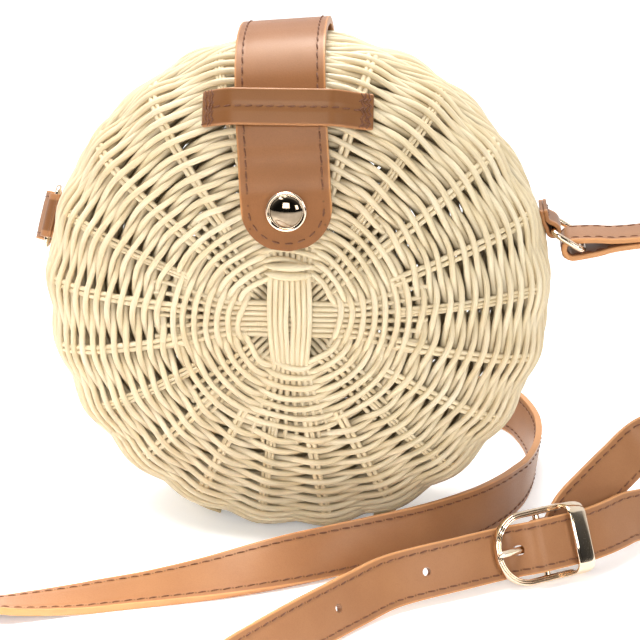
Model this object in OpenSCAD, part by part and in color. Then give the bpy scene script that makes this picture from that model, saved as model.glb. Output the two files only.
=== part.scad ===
// Round woven basket bag: two hinged reed halves, a leather flap with a snap,
// and a buckled leather shoulder strap on two wire rings.
// Origin on the ground under the middle of the bag, +Z up, +X right, +Y back.

/* [Basket] */
// Outer diameter of the round basket
basket_d = 180; // [160:2:200]
// Depth of each half from the seam to its face
half_depth = 43.3; // [40:0.5:48]
// Wall thickness of the weave
wall = 4.4; // [3.8:0.2:5.2]
// Gap between the two halves at the seam
seam_gap = 0.4; // [0.3:0.1:0.6]
// Depth of the flat on which the basket stands
foot_cut = 0.5; // [0.4:0.1:0.8]

/* [Weave] */
// Thickness of a round reed
reed_d = 2.1; // [1.8:0.1:2.4]
// Number of stakes round the basket
stakes = 21; // [17:1:25]
// Radius of the flat middle that holds the crossed reeds
core_r = 17.5; // [15:0.5:20]
// Rows of close weave round the middle
tight_rows = 8; // [6:1:9]
// Rows of paired weave from there to the open band
pair_rows = 13; // [11:1:15]
// Arc length of the close weave
tight_arc = 26; // [22:1:30]
// Depth of the groove between two rows
groove = 0.8; // [0.5:0.1:1]
// Width of the packed border
border_w = 8.4; // [7:0.2:10]
// Thickness of the packed border
border_t = 5.4; // [4.6:0.2:6]
// Strands in the packed border
border_strands = 4; // [3:1:5]
// Width of the open band behind the border
band_gap = 3.2; // [2.4:0.2:4]

/* [Crossed reeds] */
// Thickness of the reeds in the cross
cross_reed = 1.9; // [1.7:0.1:2.1]
// Reeds in the upright bundle
upright_reeds = 8; // [6:1:9]
// Reeds in the level bundle
level_reeds = 7; // [5:1:8]
// Reeds in each slanted bundle
slant_reeds = 4; // [3:1:5]

/* [Flap] */
// Width of the flap
flap_w = 30.5; // [28:0.5:34]
// Thickness of the flap's stitched leather
flap_t = 2.6; // [2:0.2:3]
// Height of the flap's tip above the middle of the basket
tip_rise = 26; // [22:0.5:28]
// Height of the snap above the middle of the basket
snap_rise = 39.5; // [36:0.5:42]
// Height of the keeper above the middle of the basket
keeper_rise = 71.4; // [69:0.2:75]
// Turn of the flap on the basket, in degrees
flap_turn = 4.5; // [0:0.5:5]
// Offset of the turned flap to the right
flap_shift = 2.6; // [0:0.2:3]
// Radius of the corners at the flap's tip
tip_corner = 14.5; // [11:0.5:15]
// Least height of the flap above the weave
flap_stand = 0.6; // [0.4:0.1:1]
// Gap between moving leather pieces
leather_gap = 0.4; // [0.3:0.1:0.6]

/* [Keeper] */
// Length of the keeper across the flap
keeper_l = 57.5; // [54:0.5:62]
// Width of the keeper band
keeper_w = 12.5; // [11:0.5:14]
// Thickness of the keeper band
keeper_t = 2.2; // [1.8:0.2:2.6]
// Length of each keeper end that lies on the weave
keeper_foot = 4.5; // [3.5:0.5:6]
// Offset of the keeper's middle to the left
keeper_shift = 1; // [0:0.2:2]

/* [Snap] */
// Diameter of the snap's cap
cap_d = 14; // [12:0.5:15]
// Height of the cap's dome
cap_h = 3.2; // [2.6:0.2:3.8]
// Diameter of the magnet
magnet_d = 13; // [11:0.5:14]
// Thickness of the magnet
magnet_t = 2; // [1.6:0.2:2.4]
// Diameter of the strike plate
plate_d = 13; // [11:0.5:14]
// Thickness of the strike plate
plate_t = 1; // [0.8:0.1:1.2]
// Diameter of the snap's posts
post_d = 3; // [2.6:0.2:3.4]
// Diameter of the washer inside the basket
washer_d = 10; // [8:0.5:12]

/* [Tabs and rings] */
// Angle of the tabs above the middle of the basket
tab_angle = 12.5; // [10:0.5:18]
// Distance of the tabs behind the seam
tab_back = 10.2; // [9.5:0.2:12]
// Width of a tab
tab_w = 16; // [12:0.5:17]
// Length of a tab up the wall
tab_l = 8; // [7:0.5:12]
// Thickness of a tab's leather
tab_t = 1.4; // [1.2:0.1:1.8]
// Diameter of the ring wire
wire_d = 2.2; // [1.8:0.1:2.6]
// Outer width of a ring
ring_w = 24; // [23.5:0.5:26]
// Outer height of a ring
ring_h = 14.6; // [14:0.2:18]
// Radius of a ring's corners to the middle of its wire
ring_corner = 3; // [2.4:0.2:3.6]
// Angle of the right ring below the wall's outward direction
ring_drop_right = 43; // [35:1:55]
// Angle of the left ring below the wall's outward direction
ring_drop_left = 85; // [80:1:95]
// Turn of the left tab that points its ring to the back
tab_roll_left = 70; // [60:1:75]
// Angle of the right strap end below the wall's outward direction
end_drop_right = 5; // [2:1:20]
// Angle of the left strap end below the wall's outward direction
end_drop_left = 86; // [80:1:95]

/* [Strap] */
// Width of the strap
strap_w = 18; // [16:0.5:18.5]
// Thickness of the strap
strap_t = 2.4; // [2:0.1:2.8]
// Diameter of the strap's holes
hole_d = 3; // [2.6:0.2:3.4]
// Distance between two holes
hole_pitch = 39; // [34:1:42]
// Number of free holes
free_holes = 4; // [2:1:5]
// Length of the folded and stitched end at a ring
fold_l = 25; // [22:1:30]

/* [Buckle] */
// Length of the buckle frame
frame_l = 34.2; // [32:0.2:38]
// Gap on each side of the strap in the buckle
buckle_gap = 1.5; // [1.2:0.1:2]
// Width of the frame's bars, seen from the front
rail_w = 2.4; // [2:0.2:3]
// Thickness of the frame
rail_t = 3.2; // [2.8:0.2:3.6]
// Half of the short straight piece at the frame's round end
end_flat = 0.5; // [0.3:0.1:1]
// Distance of the middle bar from the round end
bar_at = 19; // [18:0.5:21]
// Diameter of the middle bar
bar_d = 2.4; // [2:0.2:2.6]
// Width of the frame's keeper band
band_w = 6.5; // [5.5:0.5:8]
// Thickness of the frame's keeper band
band_t = 1.6; // [1.2:0.1:2]
// Thickness of the thinned leather folded round the bar
skive_t = 1.4; // [1.2:0.1:1.6]
// Width of the prong
prong_w = 3; // [2.4:0.2:3.4]
// Thickness of the prong
prong_t = 1.8; // [1.5:0.1:2]
// Lean of the buckle back from upright, in degrees
lean = 25; // [20:1:30]
// Heading of the buckle in plan, in degrees from +X
heading = 31.5; // [28:0.5:35]

/* [Hinge strips] */
// Width of a hinge strip
strip_w = 9; // [7:0.5:12]
// Length of a hinge strip across the seam
strip_l = 26; // [22:1:30]
// Thickness of a hinge strip
strip_t = 1.2; // [1:0.1:1.4]
// Angle of the hinge strips from the lowest point
strip_angle = 21; // [20:1:26]

/* [Fits] */
// Clearance between touching pieces that may rub
fit_gap = 0.3; // [0.25:0.05:0.4]
// Radial clearance of a wire in its leather eye
eye_gap = 0.3; // [0.25:0.05:0.5]
// Radial clearance of a post in its hole
post_gap = 0.15; // [0.1:0.05:0.25]

/* [Hidden] */
$fn = 64;

reed_colour = [0.87, 0.80, 0.64];
leather_colour = [0.78, 0.54, 0.38];
metal_colour = [0.85, 0.74, 0.48];

basket_r = basket_d / 2;
centre_z = basket_r - foot_cut;
// The origin lies under the middle of the back half's border foot
seam_y = -0.2 * seam_gap - border_w / 8.4;
overrun = reed_d / 2;

// Profile of one half: r from the axis, h from the seam, along a rounded curve
edge_power_share = 2.634;
face_power_share = 3.231;
profile_steps = 96;
function profile_at(t) = [basket_r * pow(sin(t), 2 / edge_power_share),
    half_depth * pow(cos(t), 2 / face_power_share)];
profile = [for (i = [0:profile_steps]) profile_at(90 * i / profile_steps)];
profile_arc = [for (i = 0, s = 0; i <= profile_steps;
    s = s + (i < profile_steps ? norm(profile[i + 1] - profile[i]) : 0), i = i + 1) s];
arc_total = profile_arc[profile_steps];
r_table = [for (i = [0:profile_steps]) [profile_arc[i], profile[i][0]]];
h_table = [for (i = [0:profile_steps]) [profile_arc[i], profile[i][1]]];
s_of_r_table = [for (i = [0:profile_steps]) [profile[i][0], profile_arc[i]]];
s_of_h_table = [for (i = [profile_steps:-1:0]) [profile[i][1], profile_arc[i]]];
function on_arc(s) = [lookup(s, r_table), lookup(s, h_table)];
probe = arc_total / profile_steps;
function unit(v) = v / norm(v);
function arc_tangent(s) = unit(on_arc(min(s + probe, arc_total)) - on_arc(max(s - probe, 0)));
function arc_normal(s) = let (t = arc_tangent(s)) [-t[1], t[0]];
// Point at arc length s, moved out of the weave by a lift
function off_arc(s, lift) = on_arc(s) + lift * arc_normal(s);

// Rows of weave
s_core = lookup(core_r, s_of_r_table);
s_tight = s_core + tight_arc;
h_band = border_w + band_gap;
s_end = lookup(h_band, s_of_h_table);
tight_pitch = tight_arc / tight_rows;
pair_pitch = (s_end - s_tight) / pair_rows;
row_edges = concat([for (i = [0:tight_rows]) s_core + i * tight_pitch],
    [for (i = [1:pair_rows]) s_tight + i * pair_pitch]);
rows = tight_rows + pair_rows;
bumps_out = 4;
bumps_in = 2;
function row_s(i, u) = row_edges[i] + u * (row_edges[i + 1] - row_edges[i]);
function bump(u) = groove * (1 - sin(180 * u));
pocket_depth = 4 * cross_reed - 1.1 * cross_reed / 1.9;
pocket_floor = half_depth - pocket_depth;
pocket_wall = reed_d;
shell_outline = concat(
    [[0, pocket_floor], [core_r, pocket_floor]],
    [for (i = [0:rows - 1]) for (k = [0:bumps_out - 1])
        off_arc(row_s(i, k / bumps_out), -bump(k / bumps_out))],
    [[off_arc(s_end, -groove)[0], h_band]],
    [[off_arc(s_end, -wall + groove)[0], h_band]],
    [for (i = [rows - 1:-1:0]) for (k = [bumps_in - 1:-1:0])
        if (row_s(i, k / bumps_in) > s_core + 2 * wall)
            off_arc(row_s(i, k / bumps_in), -wall + bump(k / bumps_in))],
    [[core_r + wall / 2, pocket_floor - pocket_wall], [0, pocket_floor - pocket_wall]]);

// Seats what is drawn from the seam outward on the front (1) or the back (-1)
module on_half(dir) {
    translate([0, seam_y - dir * seam_gap / 2, centre_z]) rotate([dir * 90, 0, 0]) children();
}

// Cuts the flat foot
module footed() {
    difference() {
        children();
        translate([-basket_r, -basket_r, -basket_d]) cube([basket_d, basket_d, basket_d]);
    }
}

// Plain solid of one half, grown by a lift: shapes what is seated on the weave
plain_steps = 24;
module plain_half(dir, lift) {
    on_half(dir) rotate_extrude($fn = 96) polygon(concat([[0, 0]], [[0, half_depth + lift]],
        [for (i = [1:plain_steps - 1]) off_arc(arc_total * i / plain_steps, lift)],
        [[basket_r + lift, half_depth / plain_steps], [basket_r + lift, 0]]));
}

rim_reeds_per_stake = 2;
rim_spread = 1.25 * reed_d;
module rim_reeds() {
    for (i = [0:stakes - 1]) for (side = [-1, 1])
        rotate([0, 0, 360 * i / stakes + 90]) translate([0, side * rim_spread / 2, 0])
            translate([basket_r - border_t / 2, 0, border_w])
                cylinder(h = band_gap + overrun, d = reed_d, $fn = 16);
}

module shell(dir, bore) {
    footed() on_half(dir) difference() {
        union() {
            rotate_extrude($fn = 96) polygon(shell_outline);
            rim_reeds();
        }
        if (bore) snap_bore();
    }
}

// Packed border: a hoop of strands laid side by side
strand_pitch = border_w / border_strands;
strand_bulge = 0.9 * strand_pitch / 2.1;
border_outline = concat(
    [for (i = [0:border_strands - 1]) for (k = [0:bumps_out])
        [basket_r - strand_bulge * (1 - sin(180 * k / bumps_out)),
         strand_pitch * (i + k / bumps_out)]],
    [for (i = [border_strands - 1:-1:0]) for (k = [bumps_in:-1:0])
        [basket_r - border_t + strand_bulge * (1 - sin(180 * k / bumps_in)),
         strand_pitch * (i + k / bumps_in)]]);
module border(dir) {
    footed() on_half(dir) rotate_extrude($fn = 96) polygon(border_outline);
}

// Crossed reeds in the flat middle
cross_layer = pocket_depth / 4;
cross_r = core_r - post_gap;
module reed_bundle(count, level) {
    width = count * cross_reed;
    rotate([90, 0, 0]) translate([-width / 2, 0, -core_r])
        linear_extrude(height = 2 * core_r) polygon(concat(
            [[0, level * cross_layer]],
            [for (i = [0:count - 1]) for (k = [0:bumps_out])
                [cross_reed * (i + k / bumps_out),
                 level * cross_layer + cross_reed * (0.55 + 0.45 * sin(180 * k / bumps_out))]],
            [[width, level * cross_layer]]));
}
module cross(dir) {
    on_half(dir) translate([0, 0, pocket_floor]) intersection() {
        union() {
            rotate([0, 0, 45]) reed_bundle(slant_reeds, 0);
            rotate([0, 0, -45]) reed_bundle(slant_reeds, 1);
            rotate([0, 0, 90]) reed_bundle(level_reeds, 2);
            reed_bundle(upright_reeds, 3);
        }
        cylinder(r = cross_r, h = 2 * pocket_depth, $fn = 96);
    }
}

// Places on the dome along the middle plane, seen from the side
// World [y, z] of a point at arc length s above the middle, lifted off the weave
function side_pt(dir, s, lift) = let (p = off_arc(s, lift))
    [seam_y - dir * (seam_gap / 2 + p[1]), centre_z + p[0]];
function rise_angle(s) = let (n = arc_normal(s)) atan2(n[0], n[1]);
// Puts local +Z along the outward normal of the front at arc length s, local +Y up
module on_dome(s, lift) {
    p = side_pt(1, s, 0);
    translate([0, p[0], p[1]]) rotate([90 - rise_angle(s), 0, 0])
        translate([0, 0, lift]) children();
}

// Seats the flap's pieces: turned about the basket's axis, top to the left
module at_flap() {
    translate([0, 0, centre_z]) rotate([0, -flap_turn, 0])
        translate([flap_shift, 0, -centre_z]) children();
}

// Snap
s_snap = lookup(snap_rise, s_of_r_table);
s_tip = lookup(tip_rise, s_of_r_table);
s_keeper = lookup(keeper_rise, s_of_r_table);
snap_stack = plate_t + fit_gap + magnet_t;
snap_flat = cap_d / 2 + fit_gap;
module snap_bore() {
    // Hole for the strike plate's post, in the frame of one half
    p = on_arc(s_snap);
    rotate([0, 0, flap_turn]) translate([flap_shift, p[0], p[1]])
        rotate([-rise_angle(s_snap), 0, 0]) translate([0, 0, -2 * wall])
            cylinder(h = 3 * wall, d = post_d + 2 * post_gap, $fn = 32);
}
module strike_plate() {
    color(metal_colour) at_flap() on_dome(s_snap, 0) {
        cylinder(h = plate_t, d = plate_d);
        translate([0, 0, -wall - plate_t]) cylinder(h = wall + 2 * plate_t, d = post_d, $fn = 32);
    }
}
// The washer lies just inside the curved wall
washer_seat = 0.15 * post_gap;
module backing_washer() {
    color(metal_colour) at_flap() on_dome(s_snap, -wall - plate_t - washer_seat) difference() {
        cylinder(h = plate_t, d = washer_d);
        translate([0, 0, -plate_t]) cylinder(h = 3 * plate_t, d = post_d, $fn = 32);
    }
}
module snap_magnet() {
    color(metal_colour) at_flap() on_dome(s_snap, plate_t + fit_gap)
        cylinder(h = magnet_t, d = magnet_d);
}
cap_rim_share = 0.34;
cap_step_share = 0.84;
module snap_cap() {
    cap_r = cap_d / 2;
    color(metal_colour) at_flap() on_dome(s_snap, snap_stack + flap_t) {
        rotate_extrude() polygon(concat(
            [[0, 0], [cap_r, 0], [cap_r, cap_rim_share * cap_h * 0.6],
             [0.95 * cap_r, cap_rim_share * cap_h], [cap_step_share * cap_r, cap_rim_share * cap_h]],
            [for (a = [0:15:90]) [cap_step_share * cap_r * 0.98 * cos(a),
                cap_h * (cap_rim_share + (1 - cap_rim_share) * sin(a))]]));
        translate([0, 0, -flap_t]) cylinder(h = flap_t, d = post_d, $fn = 32);
    }
}

// Flap: lift of its underside over the weave, as shares of the arc and of the snap's stack
// Shares of the arc from the middle, then of the snap's stack
bridge_lift_shares = [[0.5, 0.13], [0.62, 0.16], [0.75, 0.22], [0.85, 0.36], [0.93, 0.52], [1, 0.64]];
tongue_lift_shares = [[0.62, 0.42], [0.68, 0.20], [0.76, 0.19], [0.85, 0.33], [0.93, 0.5], [1, 0.64]];
function bridge_lift(s) = snap_stack * lookup(s / arc_total, bridge_lift_shares);
function tongue_lift(s) = max(flap_stand, snap_stack * lookup(s / arc_total, tongue_lift_shares));
s_bridge_end = lookup(snap_rise + post_d * 6, s_of_r_table);
bridge_steps = 9;
bridge_list = [for (i = [0:bridge_steps]) arc_total + i * (s_bridge_end - arc_total) / bridge_steps];
tongue_steps = 10;
s_above_snap = s_snap + 2.2 * snap_flat;
tongue_list = [for (i = [0:tongue_steps]) arc_total + i * (s_above_snap - arc_total) / tongue_steps];
snap_n = arc_normal(s_snap);
snap_u = arc_tangent(s_snap);
function snap_side(along, lift) = let (p = on_arc(s_snap) + lift * snap_n + along * snap_u)
    [seam_y - seam_gap / 2 - p[1], centre_z + p[0]];
tip_along = s_tip - s_snap - flap_t;
// The flap is cut square at the top, just over the seam
hinge_y = seam_y;
hinge_lift = snap_stack * 0.64 + flap_t;
hinge_z = centre_z + basket_r + hinge_lift;

module side_band(points) {
    translate([-flap_w / 2, 0, 0]) rotate([90, 0, 90]) linear_extrude(height = flap_w) polygon(points);
}
module bridge_band() {
    side_band(concat(
        [[hinge_y + leather_gap / 2, hinge_z - flap_t], [hinge_y + leather_gap / 2, hinge_z]],
        [for (s = bridge_list) side_pt(-1, s, bridge_lift(s) + flap_t)],
        [for (i = [bridge_steps:-1:0]) side_pt(-1, bridge_list[i], bridge_lift(bridge_list[i]))]));
}
module flap_bridge() {
    color(leather_colour) at_flap() bridge_band();
}
module flap_tongue() {
    color(leather_colour) at_flap() difference() {
        intersection() {
            side_band(concat(
                [[hinge_y, hinge_z - flap_t], [hinge_y, hinge_z]],
                [for (s = tongue_list) side_pt(1, s, tongue_lift(s) + flap_t)],
                [snap_side(snap_flat, snap_stack + flap_t), snap_side(tip_along, snap_stack + flap_t),
                 snap_side(tip_along, snap_stack), snap_side(snap_flat, snap_stack)],
                [for (i = [tongue_steps:-1:0]) side_pt(1, tongue_list[i], tongue_lift(tongue_list[i]))]));
            // Outline from the front: straight sides and a round tip
            rotate([90, 0, 0]) translate([0, 0, -basket_r]) linear_extrude(height = basket_d) {
                translate([-flap_w / 2, centre_z + tip_rise + tip_corner])
                    square([flap_w, basket_d]);
                translate([-flap_w / 2 + tip_corner, centre_z + tip_rise])
                    square([flap_w - 2 * tip_corner, basket_d]);
                for (side = [-1, 1])
                    translate([side * (flap_w / 2 - tip_corner), centre_z + tip_rise + tip_corner])
                        circle(r = tip_corner);
            }
        }
        on_dome(s_snap, snap_stack - flap_t)
            cylinder(h = 3 * flap_t, d = post_d + 2 * post_gap, $fn = 32);
    }
}

// Keeper: a band over the flap whose ends lie on the weave
keeper_mid = -keeper_shift;
flap_mid = flap_shift * cos(flap_turn) - keeper_rise * sin(flap_turn);
keeper_in = flap_w / 2 + keeper_w / 2 * tan(flap_turn) + leather_gap;
keeper_tilt = (flap_w / 2 + flap_shift) * sin(flap_turn) * sin(rise_angle(s_keeper));
keeper_top = tongue_lift(s_keeper) + flap_t + leather_gap + keeper_tilt;
module keeper_loop() {
    sunk = -2 * wall;
    left_end = keeper_mid - keeper_l / 2;
    right_end = keeper_mid + keeper_l / 2;
    left_foot = left_end + keeper_foot;
    right_foot = right_end - keeper_foot;
    left_in = flap_mid - keeper_in;
    right_in = flap_mid + keeper_in;
    color(leather_colour) difference() {
        on_dome(s_keeper, 0) rotate([90, 0, 0]) translate([0, 0, -keeper_w / 2])
            linear_extrude(height = keeper_w) polygon([
                [left_end, sunk], [left_end, -keeper_t / 2], [left_foot, keeper_t / 3],
                [left_in - keeper_t, keeper_top + keeper_t], [right_in + keeper_t, keeper_top + keeper_t],
                [right_foot, keeper_t / 3], [right_end, -keeper_t / 2], [right_end, sunk],
                [right_foot + leather_gap, sunk], [right_foot - keeper_t, sunk / 2],
                [right_in, keeper_top], [left_in, keeper_top],
                [left_foot + keeper_t, sunk / 2], [left_foot - leather_gap, sunk]]);
        plain_half(1, fit_gap);
    }
}

// Hinge strips across the seam, low on the wall
strip_r = basket_r + fit_gap;
module hinge_straps() {
    color(leather_colour) for (side = [-1, 1])
        translate([0, seam_y + strip_l / 2, centre_z]) rotate([90, 0, 0])
            rotate([0, 0, -90 + side * strip_angle - asin(strip_w / 2 / strip_r)])
                rotate_extrude(angle = 2 * asin(strip_w / 2 / strip_r), $fn = 96)
                    translate([strip_r, 0]) square([strip_t, strip_l]);
}

// Tabs and rings
eye_in = wire_d / 2 + eye_gap;
eye_out = eye_in + tab_t;
pivot_out = eye_out + post_gap;
tab_y = seam_y + tab_back;
// Local frame of a tab: +X out of the wall, +Z up along it, +Y back; side 1 right, -1 left
function turn_y(v, a) = [v[0] * cos(a) - v[2] * sin(a), v[1], v[0] * sin(a) + v[2] * cos(a)];
function tab_roll(side) = side < 0 ? tab_roll_left : 0;
function turn_x(v, a) = [v[0], v[1] * cos(a) - v[2] * sin(a), v[1] * sin(a) + v[2] * cos(a)];
function tab_dir(side, v) = let (w = turn_y(turn_x(v, tab_roll(side)), tab_angle))
    [side * w[0], w[1], w[2]];
function tab_world(side, v) = [0, tab_y, centre_z] + tab_dir(side, [v[0] + basket_r + fit_gap, v[1], v[2]]);
module at_tab(side) {
    mirror([side < 0 ? 1 : 0, 0, 0]) translate([0, tab_y, centre_z]) rotate([0, -tab_angle, 0])
        rotate([tab_roll(side), 0, 0]) translate([basket_r + fit_gap, 0, 0]) children();
}
module tab(side) {
    plate_t2 = 2 * tab_t;
    difference() {
        at_tab(side) difference() {
            rotate([90, 0, 0]) translate([0, 0, -tab_w / 2]) linear_extrude(height = tab_w) {
                polygon([[-wall, 0], [pivot_out, 0], [pivot_out + eye_out, 0],
                    [plate_t2, tab_l - plate_t2], [plate_t2 * 0.8, tab_l], [-wall, tab_l]]);
                translate([pivot_out, 0]) circle(r = eye_out);
            }
            translate([pivot_out, tab_w, 0]) rotate([90, 0, 0])
                cylinder(h = 2 * tab_w, r = eye_in);
        }
        plain_half(1, fit_gap);
        plain_half(-1, fit_gap);
    }
}
ring_span = ring_h - wire_d;
ring_side = ring_w - wire_d;
module wire_bar(length) {
    translate([0, length / 2, 0]) rotate([90, 0, 0]) cylinder(h = length, d = wire_d, $fn = 32);
}
// Ring drawn with its inner bar on the Y axis and its outer bar at +X
module ring_loop() {
    straight_y = ring_side - 2 * ring_corner;
    straight_x = ring_span - 2 * ring_corner;
    for (x = [0, ring_span]) translate([x, 0, 0]) wire_bar(straight_y);
    for (side = [-1, 1]) {
        translate([ring_span / 2, side * ring_side / 2, 0]) rotate([0, 0, 90]) wire_bar(straight_x);
        for (end = [0, 1]) translate([ring_corner + end * straight_x, side * straight_y / 2, 0])
            rotate([0, 0, side > 0 ? (end > 0 ? 0 : 90) : (end > 0 ? 270 : 180)])
                rotate_extrude(angle = 90, $fn = 64) translate([ring_corner, 0])
                    circle(d = wire_d, $fn = 32);
    }
}
module ring(side, drop) {
    at_tab(side) translate([pivot_out, 0, 0]) rotate([0, drop, 0]) ring_loop();
}
function ring_bar(side, drop) =
    tab_world(side, [pivot_out + ring_span * cos(drop), 0, -ring_span * sin(drop)]);
right_bar = ring_bar(1, ring_drop_right);
left_bar = ring_bar(-1, ring_drop_left);

// Buckle frame of reference: +X towards the tail, +Y up across the strap, +Z out
tip_place_shares = [0.798, -0.705];
window_w = strap_w + 2 * buckle_gap;
frame_w = window_w + 2 * rail_w;
frame_corner = frame_w / 2 - end_flat;
buckle_z = frame_w / 2 * cos(lean) + rail_t / 2 * sin(lean);
buckle_tip = [tip_place_shares[0] * basket_r, tip_place_shares[1] * basket_r, buckle_z];
buckle_t = [cos(heading), sin(heading), 0];
buckle_w = [-sin(lean) * sin(heading), sin(lean) * cos(heading), cos(lean)];
buckle_n = [cos(lean) * sin(heading), -cos(lean) * cos(heading), sin(lean)];
function buckle_pt(a, b, c) = buckle_tip + a * buckle_t + b * buckle_w + c * buckle_n;
module at_buckle() {
    translate(buckle_tip) rotate([90 - lean, 0, heading]) children();
}
bar_r = bar_d / 2;
fold_in = bar_r + fit_gap;
fold_out = fold_in + skive_t;
strap_under = -(rail_t / 2 + fit_gap + strap_t / 2);
strap_over = fold_out + fit_gap + strap_t / 2;
band_in = strap_over + strap_t / 2 + fit_gap;
band_out = band_in + band_t;
rails_to = frame_l - band_w;

// Cross-section of a frame bar: width on X, thickness on Y, edges broken
bevel_share = 0.3;
module bar_section() {
    a = rail_w / 2;
    b = rail_t / 2;
    c = bevel_share * rail_t;
    polygon([[-a + c, -b], [a - c, -b], [a, -b + c], [a, b - c], [a - c, b], [-a + c, b],
        [-a, b - c], [-a, -b + c]]);
}
module frame_rail(length) {
    rotate([90, 0, 90]) linear_extrude(height = length) bar_section();
}
module buckle_frame() {
    arc_r = frame_corner - rail_w / 2;
    corner_y = frame_w / 2 - frame_corner;
    mid_y = frame_w / 2 - rail_w / 2;
    color(metal_colour) at_buckle() difference() {
        union() {
            // Round end
            translate([rail_w / 2, corner_y + post_gap, 0]) rotate([0, 0, -90])
                frame_rail(2 * corner_y + 2 * post_gap);
            for (side = [-1, 1]) {
                translate([frame_corner, side * corner_y, 0]) rotate([0, 0, side > 0 ? 90 : 180])
                    rotate_extrude(angle = 90, $fn = 64) translate([arc_r, 0]) bar_section();
                translate([frame_corner, side * mid_y, 0]) frame_rail(rails_to - frame_corner + band_t);
            }
            // Keeper band over the tail, standing on the two side bars
            translate([rails_to, 0, 0]) rotate([90, 0, 90]) linear_extrude(height = band_w) difference() {
                union() {
                    translate([-frame_w / 2, -rail_t / 2])
                        square([frame_w, rail_t / 2 + band_out - 2 * band_t]);
                    translate([-frame_w / 2 + 2 * band_t, 0])
                        square([frame_w - 4 * band_t, band_out]);
                    for (side = [-1, 1])
                        translate([side * (frame_w / 2 - 2 * band_t), band_out - 2 * band_t])
                            circle(r = 2 * band_t);
                }
                translate([-window_w / 2, -rail_t]) square([window_w, rail_t + band_in]);
            }
        }
        // Seat that lets the prong's tip lie on the round end
        translate([-prong_t, -prong_w / 2 - fit_gap, rail_t / 2 - prong_seat])
            cube([rail_w + 2 * prong_t, prong_w + 2 * fit_gap, rail_t]);
    }
}
module buckle_bar() {
    color(metal_colour) at_buckle() translate([bar_at, window_w / 2, 0]) rotate([90, 0, 0])
        cylinder(h = window_w, d = bar_d, $fn = 48);
}

// Prong: an eye on the bar and a tapered tongue whose tip lies on the round end
prong_seat = 0.25 * rail_t;
prong_eye_in = bar_r + post_gap + post_gap;
prong_eye_out = prong_eye_in + skive_t * 0.86;
prong_low = rail_t / 2 - prong_seat + fit_gap;
module buckle_prong() {
    color(metal_colour) at_buckle() difference() {
        union() {
            translate([bar_at, prong_w / 2, 0]) rotate([90, 0, 0])
                cylinder(h = prong_w, r = prong_eye_out, $fn = 48);
            rotate([90, 0, 0]) translate([0, 0, -prong_w / 2]) linear_extrude(height = prong_w) polygon([
                [0, prong_low], [rail_w, prong_low], [bar_at - prong_eye_out, -prong_t / 3],
                [bar_at, -prong_t / 3], [bar_at, prong_t * 0.8],
                [bar_at - prong_eye_out, prong_t * 0.8], [rail_w, prong_low + prong_t],
                [prong_t / 3, prong_low + prong_t], [0, prong_low + prong_t * 0.7]]);
        }
        translate([bar_at, prong_w, 0]) rotate([90, 0, 0])
            cylinder(h = 2 * prong_w, r = prong_eye_in, $fn = 48);
    }
}

// Strap: a band swept along its route
function leftward(t) = unit([-t[1], t[0], 0]);
// Grain side direction for a roll about the heading: 0 left, 90 up, 180 right
function grain(t, roll) = let (l = leftward(t), u = cross(t, l)) cos(roll) * l + sin(roll) * u;
function spline(a, b, c, d, u) = 0.5 * (2 * b + (c - a) * u + (2 * a - 5 * b + 4 * c - d) * u * u
    + (3 * b - a - 3 * c + d) * u * u * u);
function pick(list, i) = list[max(0, min(len(list) - 1, i))];
// Route entries: [point, grain direction, thickness, width]
function route_pt(list, i, u) =
    spline(pick(list, i - 1)[0], pick(list, i)[0], pick(list, i + 1)[0], pick(list, i + 2)[0], u);
function route_mix(list, i, u, k) = pick(list, i)[k] * (1 - u) + pick(list, i + 1)[k] * u;
function route_grain(list, i, u) =
    spline(pick(list, i - 1)[1], pick(list, i)[1], pick(list, i + 1)[1], pick(list, i + 2)[1], u);
sub_steps = 4;
function route_sections(list) = let (
    count = len(list) - 1,
    raw = [for (i = [0:count - 1]) for (k = [0:sub_steps - 1]) [i, k / sub_steps]],
    all_uk = concat(raw, [[count, 0]]),
    pts = [for (q = all_uk) route_pt(list, q[0], q[1])])
    [for (j = [0:len(all_uk) - 1]) let (
        q = all_uk[j],
        t = unit(pick(pts, j + 1) - pick(pts, j - 1)),
        g0 = route_grain(list, q[0], q[1]),
        g = unit(g0 - (g0 * t) * t),
        w = cross(t, g),
        th = route_mix(list, q[0], q[1], 2),
        wd = route_mix(list, q[0], q[1], 3),
        low = wd / 2 * abs(w[2]) + th / 2 * abs(g[2]),
        p = [pts[j][0], pts[j][1], max(pts[j][2], low)])
        [p, t, g, w, th, wd]];
module sweep(sections) {
    n = len(sections);
    points = [for (s = sections) for (c = [[-1, -1], [1, -1], [1, 1], [-1, 1]])
        s[0] + c[0] * s[5] / 2 * s[3] + c[1] * s[4] / 2 * s[2]];
    polyhedron(points = points, faces = concat(
        [[3, 2, 1, 0]],
        [for (i = [0:n - 2]) for (k = [0:3]) let (a = 4 * i + k, b = 4 * i + (k + 1) % 4)
            each [[b, a + 4, a], [b + 4, a + 4, b]]],
        [[4 * n - 4, 4 * n - 3, 4 * n - 2, 4 * n - 1]]));
}

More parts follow.
